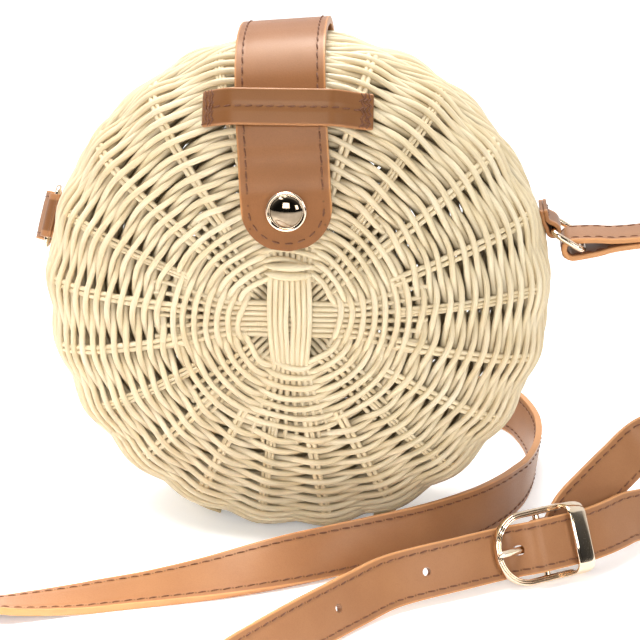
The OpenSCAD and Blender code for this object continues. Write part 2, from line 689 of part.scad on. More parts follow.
// Stitched fold round a ring's outer bar: the band comes back under itself. Entries of
// [along, up, grain along, grain up] in the fold's own frame, with the bar at its origin
fold_leaf = 0.92 * strap_t;
leaf_mid = fold_leaf / 2 + eye_gap / 2;
loop_in = wire_d / 2 + 3.3 * eye_gap;
loop_mid = loop_in + fold_leaf / 2;
loop_back = 1.6 * wire_d;
loop_open = 0.42 * fold_l;
fold_end = concat(
    [[fold_l, -leaf_mid, 0, -1], [0.7 * fold_l, -leaf_mid, 0, -1], [loop_open, -1.3 * leaf_mid, 0, -1],
     [0.2 * fold_l, -0.8 * loop_mid, 0, -1]],
    [for (a = [180:30:360]) [-loop_back + loop_mid * sin(a), loop_mid * cos(a), sin(a), cos(a)]],
    [[0.2 * fold_l, 0.8 * loop_mid, 0, 1], [loop_open, 1.3 * leaf_mid, 0, 1],
     [0.7 * fold_l, leaf_mid, 0, 1], [fold_l, leaf_mid, 0, 1],
     [fold_l + 3 * strap_t, leaf_mid, 0, 1]]);
function fold_route(place, along, up) = [for (q = fold_end)
    [place + q[0] * along + q[1] * up, q[2] * along + q[3] * up, fold_leaf, strap_w]];
// Seats a cutter on the strap: +X along it, +Z on the grain side
module on_strap(place, along, up) {
    side = cross(up, along);
    multmatrix([[along[0], side[0], up[0], place[0]], [along[1], side[1], up[1], place[1]],
        [along[2], side[2], up[2], place[2]], [0, 0, 0, 1]]) children();
}
// Heading and grain side of each strap end, square to its ring's bar
function end_along(side, drop) = tab_dir(side, [cos(drop), 0, -sin(drop)]);
function end_up(side, drop) = tab_dir(side, [sin(drop), 0, cos(drop)]);
right_along = end_along(1, end_drop_right);
right_up = end_up(1, end_drop_right);
left_along = end_along(-1, end_drop_left);
left_up = end_up(-1, end_drop_left);

// Points of the short part, as shares of the basket's radius
short_route_shares = [
    [[1.395, 0.09, 1.2], [0.05, 0.22, 0.97]],
    [[1.585, 0.065, 1.165], [0.5, 0.15, 0.85]],
    [[1.735, 0.03, 1], [0.9, -0.05, 0.4]],
    [[1.78, -0.01, 0.78], [0.97, -0.2, -0.1]],
    [[1.7, -0.055, 0.58], [0.75, -0.55, -0.35]],
    [[1.56, -0.1, 0.455], [0.42, -0.85, -0.2]]];
// Points near the buckle: along the frame in bar distances, up in strap widths, out in rail
// thicknesses, then the share of the full thickness
short_end_shares = [
    [3.9, 1.5, -1.8, 1], [3.15, 1.12, -1.85, 1], [2.5, 0.76, -1.75, 1], [2.02, 0.48, -1.55, 0.95],
    [1.68, 0.2, -1.1, 0.8], [1.44, 0.04, -0.46, 0.64], [1.27, 0, -0.06, 0.6], [1.15, 0, 0.34, 0.58]];
bar_fold_shares = [[1.07, 0, -0.71], [1.18, 0, -0.79], [1.32, 0, -0.97], [1.5, 0, -1.28],
    [1.68, 0.04, -1.73]];
function in_buckle(q) = buckle_pt(q[0] * bar_at, q[1] * strap_w, q[2] * rail_t);
// Thinned end folded round the bar: the band goes over it and comes back behind
fold_mid = fold_in + skive_t / 2;
bar_fold_route = concat(
    [for (a = [-25:25:180]) [buckle_pt(bar_at - fold_mid * sin(a), 0, fold_mid * cos(a)),
        cos(a) * buckle_n - sin(a) * buckle_t, skive_t, strap_w]],
    [for (q = bar_fold_shares) [in_buckle(q), -buckle_n, skive_t, strap_w]]);
short_route = concat(fold_route(right_bar, right_along, right_up),
    [for (q = short_route_shares) [basket_r * q[0], q[1], strap_t, strap_w]],
    [for (q = short_end_shares) [in_buckle(q), buckle_n, q[3] * strap_t, strap_w]],
    bar_fold_route);
module strap_short() {
    color(leather_colour) difference() {
        sweep(route_sections(short_route));
        // Slot for the prong
        at_buckle() translate([bar_at - 2 * fold_out, -prong_w / 2 - fit_gap, -2 * fold_out])
            cube([2 * fold_out + prong_eye_out + fit_gap, prong_w + 2 * fit_gap, 4 * fold_out]);
    }
}

// Long part: from the left ring down behind the bag, round its right side, across the
// front, round a free loop on the left and back through the buckle
behind_shares = [
    [[-0.97, 0.72, 0.95], 30], [[-0.95, 0.93, 0.7], 58], [[-0.85, 1.14, 0.44], 62],
    [[-0.62, 1.3, 0.25], 48], [[-0.32, 1.35, 0.16], 26], [[0, 1.32, 0.11], 10],
    [[0.34, 1.25, 0.1], 2], [[0.61, 1.14, 0.1], -2],
    [[0.79, 1.02, 0.1], -4], [[0.9, 0.9, 0.1], -6], [[0.952, 0.773, 0.1], -7],
    [[0.985, 0.62, 0.1], -8], [[0.993, 0.48, 0.1], -8], [[0.986, 0.346, 0.1], -7],
    [[0.966, 0.223, 0.1], -6], [[0.933, 0.101, 0.1], -4], [[0.894, 0.016, 0.1], 0],
    [[0.846, -0.078, 0.1], 4], [[0.763, -0.197, 0.1], 9], [[0.652, -0.31, 0.1], 14],
    [[0.506, -0.422, 0.1], 17], [[0.36, -0.51, 0.098], 20], [[0.21, -0.594, 0.096], 25],
    [[0.07, -0.66, 0.088], 36], [[-0.09, -0.72, 0.072], 52], [[-0.28, -0.785, 0.05], 68],
    [[-0.5, -0.85, 0.03], 80], [[-0.74, -0.922, 0.02], 87], [[-0.98, -1.01, 0.03], 98],
    [[-1.22, -1.105, 0.06], 114],
    [[-1.46, -1.3, 0.075], 126], [[-1.58, -1.56, 0.08], 134], [[-1.5, -1.84, 0.085], 140],
    [[-1.26, -2.04, 0.089], 144], [[-0.94, -2.11, 0.09], 145], [[-0.62, -2.04, 0.09], 146],
    [[-0.36, -1.87, 0.09], 147], [[-0.18, -1.65, 0.092], 149], [[-0.05, -1.46, 0.094], 151],
    [[0.07, -1.29, 0.0955], 153], [[0.185, -1.14, 0.0965], 155], [[0.29, -1.01, 0.1], 155],
    [[0.42, -0.885, 0.112], 155]];
knots = len(behind_shares);
// Points through the buckle: along the frame, out from it
lead_in_a = -0.62 * bar_at;
climb_a = 0.27 * bar_at;
climb_b = 0.81 * bar_at;
function climb(a) = let (u = max(0, min(1, (a - climb_a) / (climb_b - climb_a))))
    strap_under + (strap_over - strap_under) * u * u * (3 - 2 * u);
through_shares = [0.14, 0.27, 0.4, 0.47, 0.54, 0.61, 0.68, 0.81, 1, 1.25, 1.5, 1.82];
// Tail: along the frame in bar distances, up in strap widths, out in rail thicknesses, width
tail_shares = [[2.25, 0.03, 0.95, 1], [2.65, 0.07, 0.2, 1], [3.1, 0.12, -0.7, 1],
    [3.8, 0.08, -2, 1], [4.5, 0.04, -3.1, 1], [4.95, 0.08, -3.8, 0.86], [5.15, 0.1, -4.1, 0.5]];
behind_points = [for (q = behind_shares) basket_r * q[0]];
long_route = concat(
    fold_route(left_bar, left_along, left_up),
    [for (i = [0:knots - 1]) let (
        a = i == 0 ? left_bar + fold_l * left_along : behind_points[i - 1],
        b = i == knots - 1 ? buckle_pt(lead_in_a, 0, strap_under) : behind_points[i + 1])
        [behind_points[i], grain(unit(b - a), behind_shares[i][1]), strap_t, strap_w]],
    [[buckle_pt(lead_in_a, 0, strap_under), buckle_n, strap_t, strap_w]],
    [for (q = through_shares) [buckle_pt(q * bar_at, 0, climb(q * bar_at)), buckle_n, strap_t, strap_w]],
    [for (q = tail_shares) [in_buckle(q), buckle_n, strap_t, q[3] * strap_w]]);
long_sections = route_sections(long_route);
long_arc = [for (i = 0, s = 0; i < len(long_sections);
    s = s + (i < len(long_sections) - 1 ? norm(long_sections[i + 1][0] - long_sections[i][0]) : 0),
    i = i + 1) s];
// Section nearest to the hole in use, and the sections of the free holes before it
hole_at = 0.6 * bar_at;
hole_place = buckle_pt(hole_at, 0, climb(hole_at));
function nearest(list, p) = let (d = [for (s = list) norm(s[0] - p)]) search(min(d), d)[0];
hole_section = nearest(long_sections, hole_place);
hole_arc = long_arc[hole_section];
function section_at(s) = let (d = [for (a = long_arc) abs(a - s)], i = search(min(d), d)[0],
    q = long_sections[i]) [q[0] + (s - long_arc[i]) * q[1], q[1], q[2], q[3]];
module strap_hole(s) {
    on_strap(s[0], s[1], s[2]) translate([0, 0, -strap_t]) cylinder(h = 2 * strap_t, d = hole_d, $fn = 32);
}
slot_l = 0.46 * bar_at;
module strap_long() {
    color(leather_colour) difference() {
        sweep(long_sections);
        for (i = [1:free_holes]) strap_hole(section_at(hole_arc - i * hole_pitch));
        // Hole in use, drawn long by the prong
        on_strap(hole_place, long_sections[hole_section][1], long_sections[hole_section][2])
            translate([-slot_l / 2, -prong_w / 2 - fit_gap, -2 * strap_t])
                cube([slot_l, prong_w + 2 * fit_gap, 4 * strap_t]);
    }
}

module back_shell() { color(reed_colour) shell(-1, false); }
module front_shell() { color(reed_colour) shell(1, true); }
module back_border() { color(reed_colour) border(-1); }
module front_border() { color(reed_colour) border(1); }
module back_cross() { color(reed_colour) cross(-1); }
module front_cross() { color(reed_colour) cross(1); }
module left_tab() { color(leather_colour) tab(-1); }
module right_tab() { color(leather_colour) tab(1); }
module left_ring() { color(metal_colour) ring(-1, ring_drop_left); }
module right_ring() { color(metal_colour) ring(1, ring_drop_right); }

back_shell();
back_border();
back_cross();
flap_bridge();
hinge_straps();
left_tab();
right_tab();
strap_long();
strap_short();
buckle_frame();
buckle_bar();
front_shell();
front_border();
front_cross();
keeper_loop();
strike_plate();
backing_washer();
flap_tongue();
snap_cap();
snap_magnet();
left_ring();
right_ring();
buckle_prong();
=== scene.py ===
# Round woven reed bag: two hinged halves, a leather flap with a magnetic snap,
# and a buckled leather shoulder strap on two wire rings.
import bpy
from bisect import bisect_right
from math import atan2, ceil, copysign, cos, dist, exp, hypot, pi, radians, sin, sqrt, tan
from mathutils import Matrix, Vector, noise


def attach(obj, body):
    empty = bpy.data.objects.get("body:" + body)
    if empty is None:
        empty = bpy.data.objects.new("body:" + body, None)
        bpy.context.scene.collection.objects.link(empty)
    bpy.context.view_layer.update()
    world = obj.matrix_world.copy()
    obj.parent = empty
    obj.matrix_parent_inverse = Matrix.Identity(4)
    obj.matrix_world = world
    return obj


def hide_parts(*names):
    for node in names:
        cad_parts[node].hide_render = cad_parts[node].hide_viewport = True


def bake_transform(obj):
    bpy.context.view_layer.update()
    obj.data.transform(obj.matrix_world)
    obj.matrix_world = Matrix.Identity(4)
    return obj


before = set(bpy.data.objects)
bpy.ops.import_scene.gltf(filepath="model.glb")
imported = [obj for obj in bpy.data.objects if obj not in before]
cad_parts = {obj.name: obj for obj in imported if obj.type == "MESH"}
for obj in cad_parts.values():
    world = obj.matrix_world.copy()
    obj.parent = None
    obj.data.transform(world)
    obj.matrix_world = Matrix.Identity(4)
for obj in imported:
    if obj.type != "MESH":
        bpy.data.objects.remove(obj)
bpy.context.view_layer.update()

MM = 0.001
scene = bpy.context.scene


# ---- small helpers
def linear(code):
    """A hex colour as it is seen, turned to linear light."""
    parts = [int(code[i:i + 2], 16) / 255 for i in (1, 3, 5)]
    return [c / 12.92 if c <= 0.04045 else ((c + 0.055) / 1.055) ** 2.4 for c in parts] + [1.0]


def lookup(x, table):
    """Straight-line reading of a table whose first column rises or falls."""
    if table[0][0] > table[-1][0]:
        table = table[::-1]
    if x <= table[0][0]:
        return table[0][1]
    for (x0, y0), (x1, y1) in zip(table, table[1:]):
        if x <= x1:
            return y0 + (y1 - y0) * (x - x0) / (x1 - x0) if x1 > x0 else y1
    return table[-1][1]


def smooth(a, b, x):
    u = max(0.0, min(1.0, (x - a) / (b - a)))
    return u * u * (3 - 2 * u)


def pick(items, i):
    return items[max(0, min(len(items) - 1, i))]


def spline(items, i, u):
    """A smooth curve through the items, a share u past the one numbered i."""
    a, b, c, d = (pick(items, i + j) for j in (-1, 0, 1, 2))
    return 0.5 * (2 * b + (c - a) * u + (2 * a - 5 * b + 4 * c - d) * u * u
                  + (3 * b - a - 3 * c + d) * u * u * u)


def polar(radius, angle):
    return radius * cos(angle), radius * sin(angle)


def deselect():
    if bpy.context.object and bpy.context.object.mode != 'OBJECT':
        bpy.ops.object.mode_set(mode='OBJECT')
    bpy.ops.object.select_all(action='DESELECT')


def take(obj):
    """Makes one object the selected and active one."""
    deselect()
    obj.select_set(True)
    bpy.context.view_layer.objects.active = obj
    return obj


def apply_modifier(obj, kind, **settings):
    take(obj)
    modifier = obj.modifiers.new(kind.lower(), kind)
    for key, value in settings.items():
        setattr(modifier, key, value)
    bpy.ops.object.modifier_apply(modifier=modifier.name)


def bevel(obj, width, segments, degrees):
    apply_modifier(obj, 'BEVEL', width=width, segments=segments, limit_method='ANGLE',
                   angle_limit=radians(degrees))


def recalculate(obj, merge=False):
    """Turns all faces outwards, with points in one place made one if that is asked for."""
    take(obj)
    bpy.ops.object.mode_set(mode='EDIT')
    bpy.ops.mesh.select_all(action='SELECT')
    if merge:
        bpy.ops.mesh.remove_doubles(threshold=1e-6)
    bpy.ops.mesh.normals_make_consistent(inside=False)
    bpy.ops.object.mode_set(mode='OBJECT')


def smooth_faces(obj, degrees=None):
    take(obj)
    bpy.ops.object.shade_smooth()
    if degrees:
        bpy.ops.object.shade_smooth_by_angle(angle=radians(degrees))


def mesh_of(name, points, faces):
    """A mesh drawn point by point, in millimetres."""
    mesh = bpy.data.meshes.new(name)
    mesh.from_pydata([tuple(Vector(p) * MM) for p in points], [], faces)
    mesh.update()
    obj = bpy.data.objects.new(name, mesh)
    scene.collection.objects.link(obj)
    recalculate(obj)
    return obj


def skin(rows, sides, base=0, round_again=0):
    """Four-sided faces between rows of points; each row closes on itself, and the last one
    on the first where round_again is 1."""
    return [tuple(base + row % rows * sides + j % sides
                  for row, j in ((k, i), (k, i + 1), (k + 1, i + 1), (k + 1, i)))
            for k in range(rows - 1 + round_again) for i in range(sides)]


def new_curve(name, dimensions, lines, cyclic=False):
    """Straight-sided curves through lines of (x, y, z, radius), in millimetres."""
    curve = bpy.data.curves.new(name, 'CURVE')
    curve.dimensions = dimensions
    for places in lines:
        line = curve.splines.new('POLY')
        line.points.add(len(places) - 1)
        line.use_cyclic_u = cyclic
        for point, (x, y, z, radius) in zip(line.points, places):
            point.co = (x * MM, y * MM, z * MM, 1)
            point.radius = radius
    return curve


def curve_to_mesh(name, curve):
    obj = bpy.data.objects.new(name, curve)
    scene.collection.objects.link(obj)
    take(obj)
    bpy.ops.object.convert(target='MESH')
    return bpy.context.view_layer.objects.active


def dress(obj, material, body, slot, *nodes):
    """Gives a finished piece its material and its body, and hides the CAD nodes it stands for. The
    slot is not used.
    """
    obj.data.materials.clear()
    obj.data.materials.append(material)
    if body:
        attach(obj, body)
    if nodes:
        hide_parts(*nodes)
    return obj


# ---- camera
camera_data = bpy.data.cameras.new("camera")
camera_data.sensor_width = 36
camera_data.lens = 115.2
camera_data.clip_start = 0.05
camera_data.clip_end = 20
camera = bpy.data.objects.new("camera", camera_data)
scene.collection.objects.link(camera)
look = Vector((-0.0595, 0.9431, -0.3269)).normalized()
camera.location = Vector((52.0, -703.6, 318.6)) * MM
right_of_view = look.cross(Vector((0, 0, 1))).normalized()
up_of_view = right_of_view.cross(look)
camera.rotation_euler = Matrix((right_of_view, up_of_view, -look)).transposed().to_euler()
scene.camera = camera

# ---- sizes, in millimetres
basket_r = 90.0
half_depth = 43.3
wall = 4.4
seam_gap = 0.4
seam_y = -1.08
centre_z = 89.5
stakes = 21
core_r = 17.5
pair_rows = 13
close_rows = 7
close_pitch = 3.9
tight_arc = 26.0
border_w = 8.4
border_t = 5.4
band_gap = 3.2
cross_reed = 1.9
stake_swell = 0.4

# Profile of one half, as the CAD source draws it: powers along the face and along the wall
face_power, wall_power, mean_power = 2.634, 3.231, 2.9
profile_steps = 180
profile = []
for i in range(profile_steps + 1):
    t = pi / 2 * i / profile_steps
    profile.append((basket_r * sin(t) ** (2 / face_power),
                    half_depth * max(0.0, cos(t)) ** (2 / wall_power)))
profile_arc = [0.0]
for p, q in zip(profile, profile[1:]):
    profile_arc.append(profile_arc[-1] + dist(p, q))
arc_total = profile_arc[-1]
r_table = [(s, p[0]) for s, p in zip(profile_arc, profile)]
h_table = [(s, p[1]) for s, p in zip(profile_arc, profile)]
s_of_r_table = [(p[0], s) for s, p in zip(profile_arc, profile)]
s_of_h_table = [(p[1], s) for s, p in zip(profile_arc, profile)]


def on_arc(s):
    return Vector((lookup(s, r_table), lookup(s, h_table)))


def arc_tangent(s):
    return (on_arc(min(s + 1.2, arc_total)) - on_arc(max(s - 1.2, 0))).normalized()


def arc_normal(s):
    t = arc_tangent(s)
    return Vector((-t.y, t.x))


normal_steps = 240
arc_frames = [(on_arc(arc_total * i / normal_steps), arc_normal(arc_total * i / normal_steps))
              for i in range(normal_steps + 1)]


def off_arc(s, lift):
    f = max(0.0, min(normal_steps - 1e-6, s / arc_total * normal_steps))
    i = int(f)
    (p0, n0), (p1, n1) = arc_frames[i], arc_frames[i + 1]
    return p0.lerp(p1, f - i) + lift * n0.lerp(n1, f - i)


def on_half(side, x, y, h):
    """A place on the front (1) or the back half (-1): x, y from its axis, h from the seam."""
    z = centre_z + side * y
    return Vector((x, seam_y - side * (seam_gap / 2 + h), z))


def on_weave(side, s, lift, angle):
    r, h = off_arc(s, lift)
    return on_half(side, *polar(r, angle), h)


# ---- weave
ring_sides = 8
lay_step = 37.0
tone_step = 0.618034
rest_gap = 0.05
s_core = lookup(core_r, s_of_r_table)
s_tight = s_core + tight_arc
s_end = lookup(border_w + band_gap, s_of_h_table)
pair_pitch = (s_end - s_tight) / pair_rows
weave_mid = -0.5 * wall


def depth_at(side, place):
    """How far a place lies inside the basket's face, about, in millimetres."""
    h = max(0.0, -side * (place.y - seam_y) - seam_gap / 2)
    r = hypot(place.x, place.z - centre_z)
    level = ((r / basket_r) ** face_power + (h / half_depth) ** wall_power) ** (1 / mean_power)
    return (1 - level) * hypot(r, h)


def lay_reeds(name, runs, side):
    """Round reeds along lists of (point, radius), as one mesh.
    Each keeps where it lies along and round itself, its depth in the wall, and a tone."""
    curve = new_curve(name, '3D', [
        [(*place.xy, max(place.z, radius + rest_gap), radius) for place, radius in run]
        for run in runs])
    curve.bevel_depth = MM
    curve.bevel_resolution = ring_sides // 4
    curve.use_fill_caps = True
    obj = curve_to_mesh(name, curve)
    mesh = obj.data
    lay, tones = [], []
    for number, run in enumerate(runs):
        along = lay_step * number
        rings = []
        for k, (place, radius) in enumerate(run):
            if k:
                along += (place - run[k - 1][0]).length
            rings += [(*polar(radius, 2 * pi * j / ring_sides), along) for j in range(ring_sides)]
        rings += [rings[0]] * ring_sides + [rings[-1]] * ring_sides
        lay += [c for spot in rings for c in spot]
        tones += [(number * tone_step) % 1.0] * len(rings)
    depths = [depth_at(side, vertex.co / MM) for vertex in mesh.vertices]
    for layer, kind, field, values in (("lay", 'FLOAT_VECTOR', 'vector', lay),
                                       ("tone", 'FLOAT', 'value', tones),
                                       ("depth", 'FLOAT', 'value', depths)):
        mesh.attributes.new(layer, kind, 'POINT')
        mesh.attributes[layer].data.foreach_set(field, values)
    mesh.polygons.foreach_set('use_smooth', [True] * len(mesh.polygons))
    return obj


def wander(a, b, c):
    return noise.noise(Vector((a, b, c)))


def wander_round(scale, angle, c, dx=0, dy=0):
    """Drift that meets itself again after a whole turn."""
    return wander(scale * cos(angle) + dx, scale * sin(angle) + dy, c)


def swell(s, angle):
    """The wall stands out a little over each stake, most near the rim."""
    return (stake_swell * smooth(0.45 * arc_total, 0.95 * arc_total, s)
            * cos(stakes * (angle - pi / 2)) * (1 + 0.8 * wander(4 * angle, 3.1, 0)))


def twined_row(side, s_row, waves, steps, radius, rise, slide, seed, flat, loose):
    """Two strands twisted round each other, one half turn from stake to stake."""
    runs = []
    turns = 2 if waves % 2 else 1
    count = waves * steps * turns
    start = (seed * 0.37 % 1) * 2 * pi
    fuller = 0.45 if side > 0 else 0.75
    for strand in range(3 - turns):
        run = []
        for k in range(count + 2):
            theta = start + 2 * pi * turns * k / count
            angle = pi / 2 + theta
            phase = waves * theta / 2 + pi * strand
            swing = cos(phase)
            swing = copysign(abs(swing) ** flat, swing)
            drift = wander_round(3, angle, seed * 2.3, strand * 9)
            stray = wander_round(2.3, angle, seed * 0.9)
            thick = radius * (1 + 0.16 * wander_round(5, angle, seed, 0, strand * 7))
            thick *= 1 + fuller * max(0.0, -swing)
            s = s_row + slide * sin(phase) + 0.3 * drift + loose * stray
            lift = weave_mid + rise * swing + swell(s_row, angle) + 0.25 * drift
            run.append((on_weave(side, s, lift, angle), thick))
        runs.append(run)
    return runs


def weave_half(side, word):
    def finish(part, runs, *nodes):
        dress(lay_reeds(word + part, runs, side), reed_material, word + "_half", "reed", *nodes)
    # Paired rows over the stakes
    reed, loose = (1.14, 0.8) if side > 0 else (1.25, 0.4)
    runs = []
    for i in range(pair_rows):
        s_row = s_tight + (i + 0.5) * pair_pitch
        rise = 1.55 - 0.35 * smooth(0.6 * arc_total, arc_total, s_row)
        runs += twined_row(side, s_row, waves=stakes, steps=9, radius=reed, rise=rise, slide=1.12,
                           seed=i + 20 * side, flat=1.0, loose=loose)
    finish("_paired_rows", runs, word + "_shell")
    # Close rows round the middle, over whole bundles
    runs = []
    for i in range(close_rows):
        runs += twined_row(side, s_core - 0.2 + i * close_pitch, waves=8, steps=20, radius=1.08,
                           rise=1.3, slide=0.95, seed=i + 40 + 20 * side, flat=0.5, loose=0.5)
    finish("_close_rows", runs)
    # Stakes: two reeds each or three thin ones, from under the close rows to the border
    runs = []
    for i in range(stakes):
        middle = pi / 2 + 2 * pi * i / stakes
        reeds, apart, radius = (((-1, 0, 1), 1.22, 0.65) if i % 3 == 1
                                else ((-0.5, 0.5), 1.95, 0.94))
        for j in reeds:
            run = []
            for k in range(25):
                s = s_tight - 6 + (arc_total - 3 - s_tight + 6) * k / 24
                off = apart * j * (1 + 0.25 * smooth(s_end - 8, s_end + 4, s))
                off += 0.35 * wander(i * 1.7, j * 3.1, s * 0.06)
                lift = weave_mid + 0.6 + swell(s, middle) - 0.2 * abs(j)
                run.append((on_weave(side, s, lift, middle + off / on_arc(s).x), radius))
            runs.append(run)
    finish("_stakes", runs)
    # Bundles that cross in the middle and fan out to the stakes
    runs = []
    reach = on_arc(s_tight + 4).x
    bundles = ((90, 8, -0.6, 1.0, 0.9), (0, 7, -2.3, 1.0, 0.9), (45, 4, -3.2, 1.15, 0.5),
               (135, 4, -3.7, 1.15, 0.5))
    for heading, count, depth, apart, fan in bundles:
        turn = radians(heading)
        for j in range(count):
            off = (j - (count - 1) / 2) * cross_reed * apart
            run = []
            for k in range(49):
                a = reach * (k - 24) / 24
                r = max(abs(a), 0.01)
                open_out = smooth(core_r + 1, reach, r)
                across = off * (1 + 1.25 * open_out * fan)
                if heading == 90:
                    inside = 1 - smooth(core_r - 1, core_r + 3, r)
                    across *= 1 + inside * (0.03 - 0.006 * (a - 4) ** 2 / 12)
                    across += 0.42 * copysign(1, off) * exp(-((a + 1) / 6) ** 2) * (
                        1 - abs(off) / 7.6)
                place = Vector((a * cos(turn) - across * sin(turn),
                                a * sin(turn) + across * cos(turn)))
                s = lookup(min(place.length, 89), s_of_r_table)
                sink = smooth(core_r - 4.5, core_r + 0.5, r)
                lift = depth * (1 - sink) + weave_mid * sink
                lift += 0.12 * wander(j * 2.1, heading, a * 0.1)
                p = off_arc(s, lift)
                scale = p.x / max(on_arc(s).x, 0.01)
                run.append((on_half(side, place.x * scale, place.y * scale, p.y),
                            0.97 - 0.12 * open_out))
            runs.append(run)
    # Two short wraps over the top of the upright bundle
    for y, wide, thick, bow in ((16.5, 8.6, 1.75, -0.2), (19.3, 9.0, 1.7, 0.2)):
        run = []
        for k in range(21):
            u = -1 + 2 * k / 20
            x, y_bent = wide * u, y + (1 - u * u) * bow
            s = lookup(min(hypot(x, y_bent), 89), s_of_r_table)
            run.append((on_half(side, x, y_bent, off_arc(s, 0.7 - 2.4 * u * u * abs(u)).y),
                        max(0.3, thick * (1 - u * u) ** 0.75)))
        runs.append(run)
    finish("_crossed_reeds", runs, word + "_cross")
    # Border: strands laid slantwise round the edge
    runs = []
    lays, twist, count, strand_r = 7, 9, 260, 1.3
    for j in range(lays):
        run = []
        for k in range(count + 3):
            theta = 2 * pi * k / count
            phase = twist * theta + 2 * pi * j / lays
            h = border_w / 2 + (border_w / 2 - 1.15) * sin(phase)
            bulge = stake_swell * cos(stakes * theta) * (
                1 + 0.8 * wander(4 * (theta + pi / 2), 3.1, 0))
            bulge += 0.35 * wander_round(4, theta, j)
            r = basket_r - border_t / 2 + (border_t / 2 - 1.05) * cos(phase) + bulge
            run.append((on_half(side, *polar(r, pi / 2 + theta), max(h, strand_r)), strand_r))
        runs.append(run)
    finish("_border_braid", runs, word + "_border")


# ---- material tools
class Nodes:
    """Writes a node tree. An input takes a value, a hex colour or another node's output."""

    def __init__(self, tree):
        self.tree = tree
        tree.nodes.clear()

    def add(self, kind, links=None, output=0, **settings):
        """Adds a node and gives one of its outputs; settings are its properties."""
        node = self.tree.nodes.new('ShaderNode' + kind)
        for key, value in settings.items():
            setattr(node, key, value)
        for key, value in (links or {}).items():
            if isinstance(value, bpy.types.NodeSocket):
                self.tree.links.new(value, node.inputs[key])
            else:
                node.inputs[key].default_value = linear(value) if isinstance(value, str) else value
        return node.outputs[output] if node.outputs else None

    def attribute(self, name, output='Fac'):
        return self.add('Attribute', None, output, attribute_name=name)

    def place(self):
        return self.add('TexCoord', None, 'Object')

    def cloud(self, vector, scale, detail=2.0):
        return self.add('TexNoise', {'Vector': vector, 'Scale': scale, 'Detail': detail})

    def ramp(self, source, *stops):
        colour_out = self.add('ValToRGB', {'Fac': source})
        ramp = colour_out.node.color_ramp
        while len(ramp.elements) < len(stops):
            ramp.elements.new(0.5)
        for element, (place, colour) in zip(ramp.elements, stops):
            element.position = place
            element.color = linear(colour) if isinstance(colour, str) else [colour] * 3 + [1]
        return colour_out

    def between(self, value, low, high):
        return self.add('MapRange', {'Value': value, 'From Min': low, 'From Max': high})

    def maths(self, operation, a, b=0.0, c=0.0):
        return self.add('Math', {0: a, 1: b, 2: c}, operation=operation)

    def times(self, a, b):
        return self.maths('MULTIPLY', a, b)

    def mix(self, factor, a, b, blend='MIX'):
        return self.add('Mix', {0: factor, 6: a, 7: b}, 2, data_type='RGBA', blend_type=blend)

    def shaded(self, share, base, dark):
        """The base with a pattern of shade over it."""
        return self.mix(share, base, self.mix(1.0, base, dark, 'MULTIPLY'))

    def surface(self, base, rough, height, relief, more):
        """Ends the tree of a material with one shader; relief is its strength and depth."""
        bump = self.add('Bump', {'Strength': relief[0], 'Distance': relief[1],
                                 'Height': height})
        self.add('OutputMaterial', {'Surface': self.add('BsdfPrincipled', {
            'Base Color': base, 'Roughness': rough, 'Normal': bump, **more})})

    def seen(self, share=1.0):
        """1 for the camera's own rays, and the share for those by way of mirrors and glass."""
        paths = self.add('LightPath').node.outputs
        mirrored = self.maths('ADD', paths['Is Glossy Ray'], paths['Is Transmission Ray'])
        return self.maths('MINIMUM', self.maths(
            'ADD', paths['Is Camera Ray'], self.times(mirrored, share)), 1.0)


fine_relief = (0.35, 0.00012)


def new_material(name):
    material = bpy.data.materials.new(name)
    material.use_nodes = True
    return material, Nodes(material.node_tree)


def peeled_reed():
    """Peeled willow reed, dried and lightly varnished: cream with tan stains, fine fibre
    lines along it, a soft satin shine."""
    material, n = new_material("peeled_reed_satin")
    lay = n.attribute("lay", 'Vector')
    # Fibre lines every 0.35 mm round the reed, 14 mm long
    fibre = n.cloud(n.add('Mapping', {'Vector': lay, 'Scale': (2.8, 2.8, 0.07)}), 1.0, 3.0)
    # Stains some 25 mm long on single reeds, and 40 mm patches over the whole weave
    stain = n.cloud(n.add('Mapping', {'Vector': lay, 'Scale': (0.1, 0.1, 0.04)}), 1.0)
    patch = n.ramp(n.cloud(n.place(), 25.0), (0.45, 0.0), (0.7, 1.0))
    base = n.ramp(stain, (0.3, "#D3BE94"), (0.52, "#E4D2AE"), (0.75, "#ECDFC2"))
    base = n.mix(n.times(patch, 0.35), base, "#DDC39A")
    base = n.mix(n.times(n.attribute("tone"), 0.3), base, "#E2D0AA")
    base = n.shaded(0.6, base, n.ramp(fibre, (0.35, 0.72), (0.6, 1.0)))
    # Painted shade: reeds from 1 to 3 mm below the face are darkened, for the shade down in the
    # gaps of the weave
    painted_gap_shade = n.ramp(n.times(n.attribute("depth"), 0.2),
                  (0.24, 0.0), (0.46, 0.25), (0.66, 0.62), (0.9, 0.4))
    rough = n.ramp(fibre, (0.3, 0.5), (0.7, 0.38))
    n.surface(n.mix(painted_gap_shade, base, "#7A684A"), rough, fibre, fine_relief, {'IOR': 1.5})
    return material


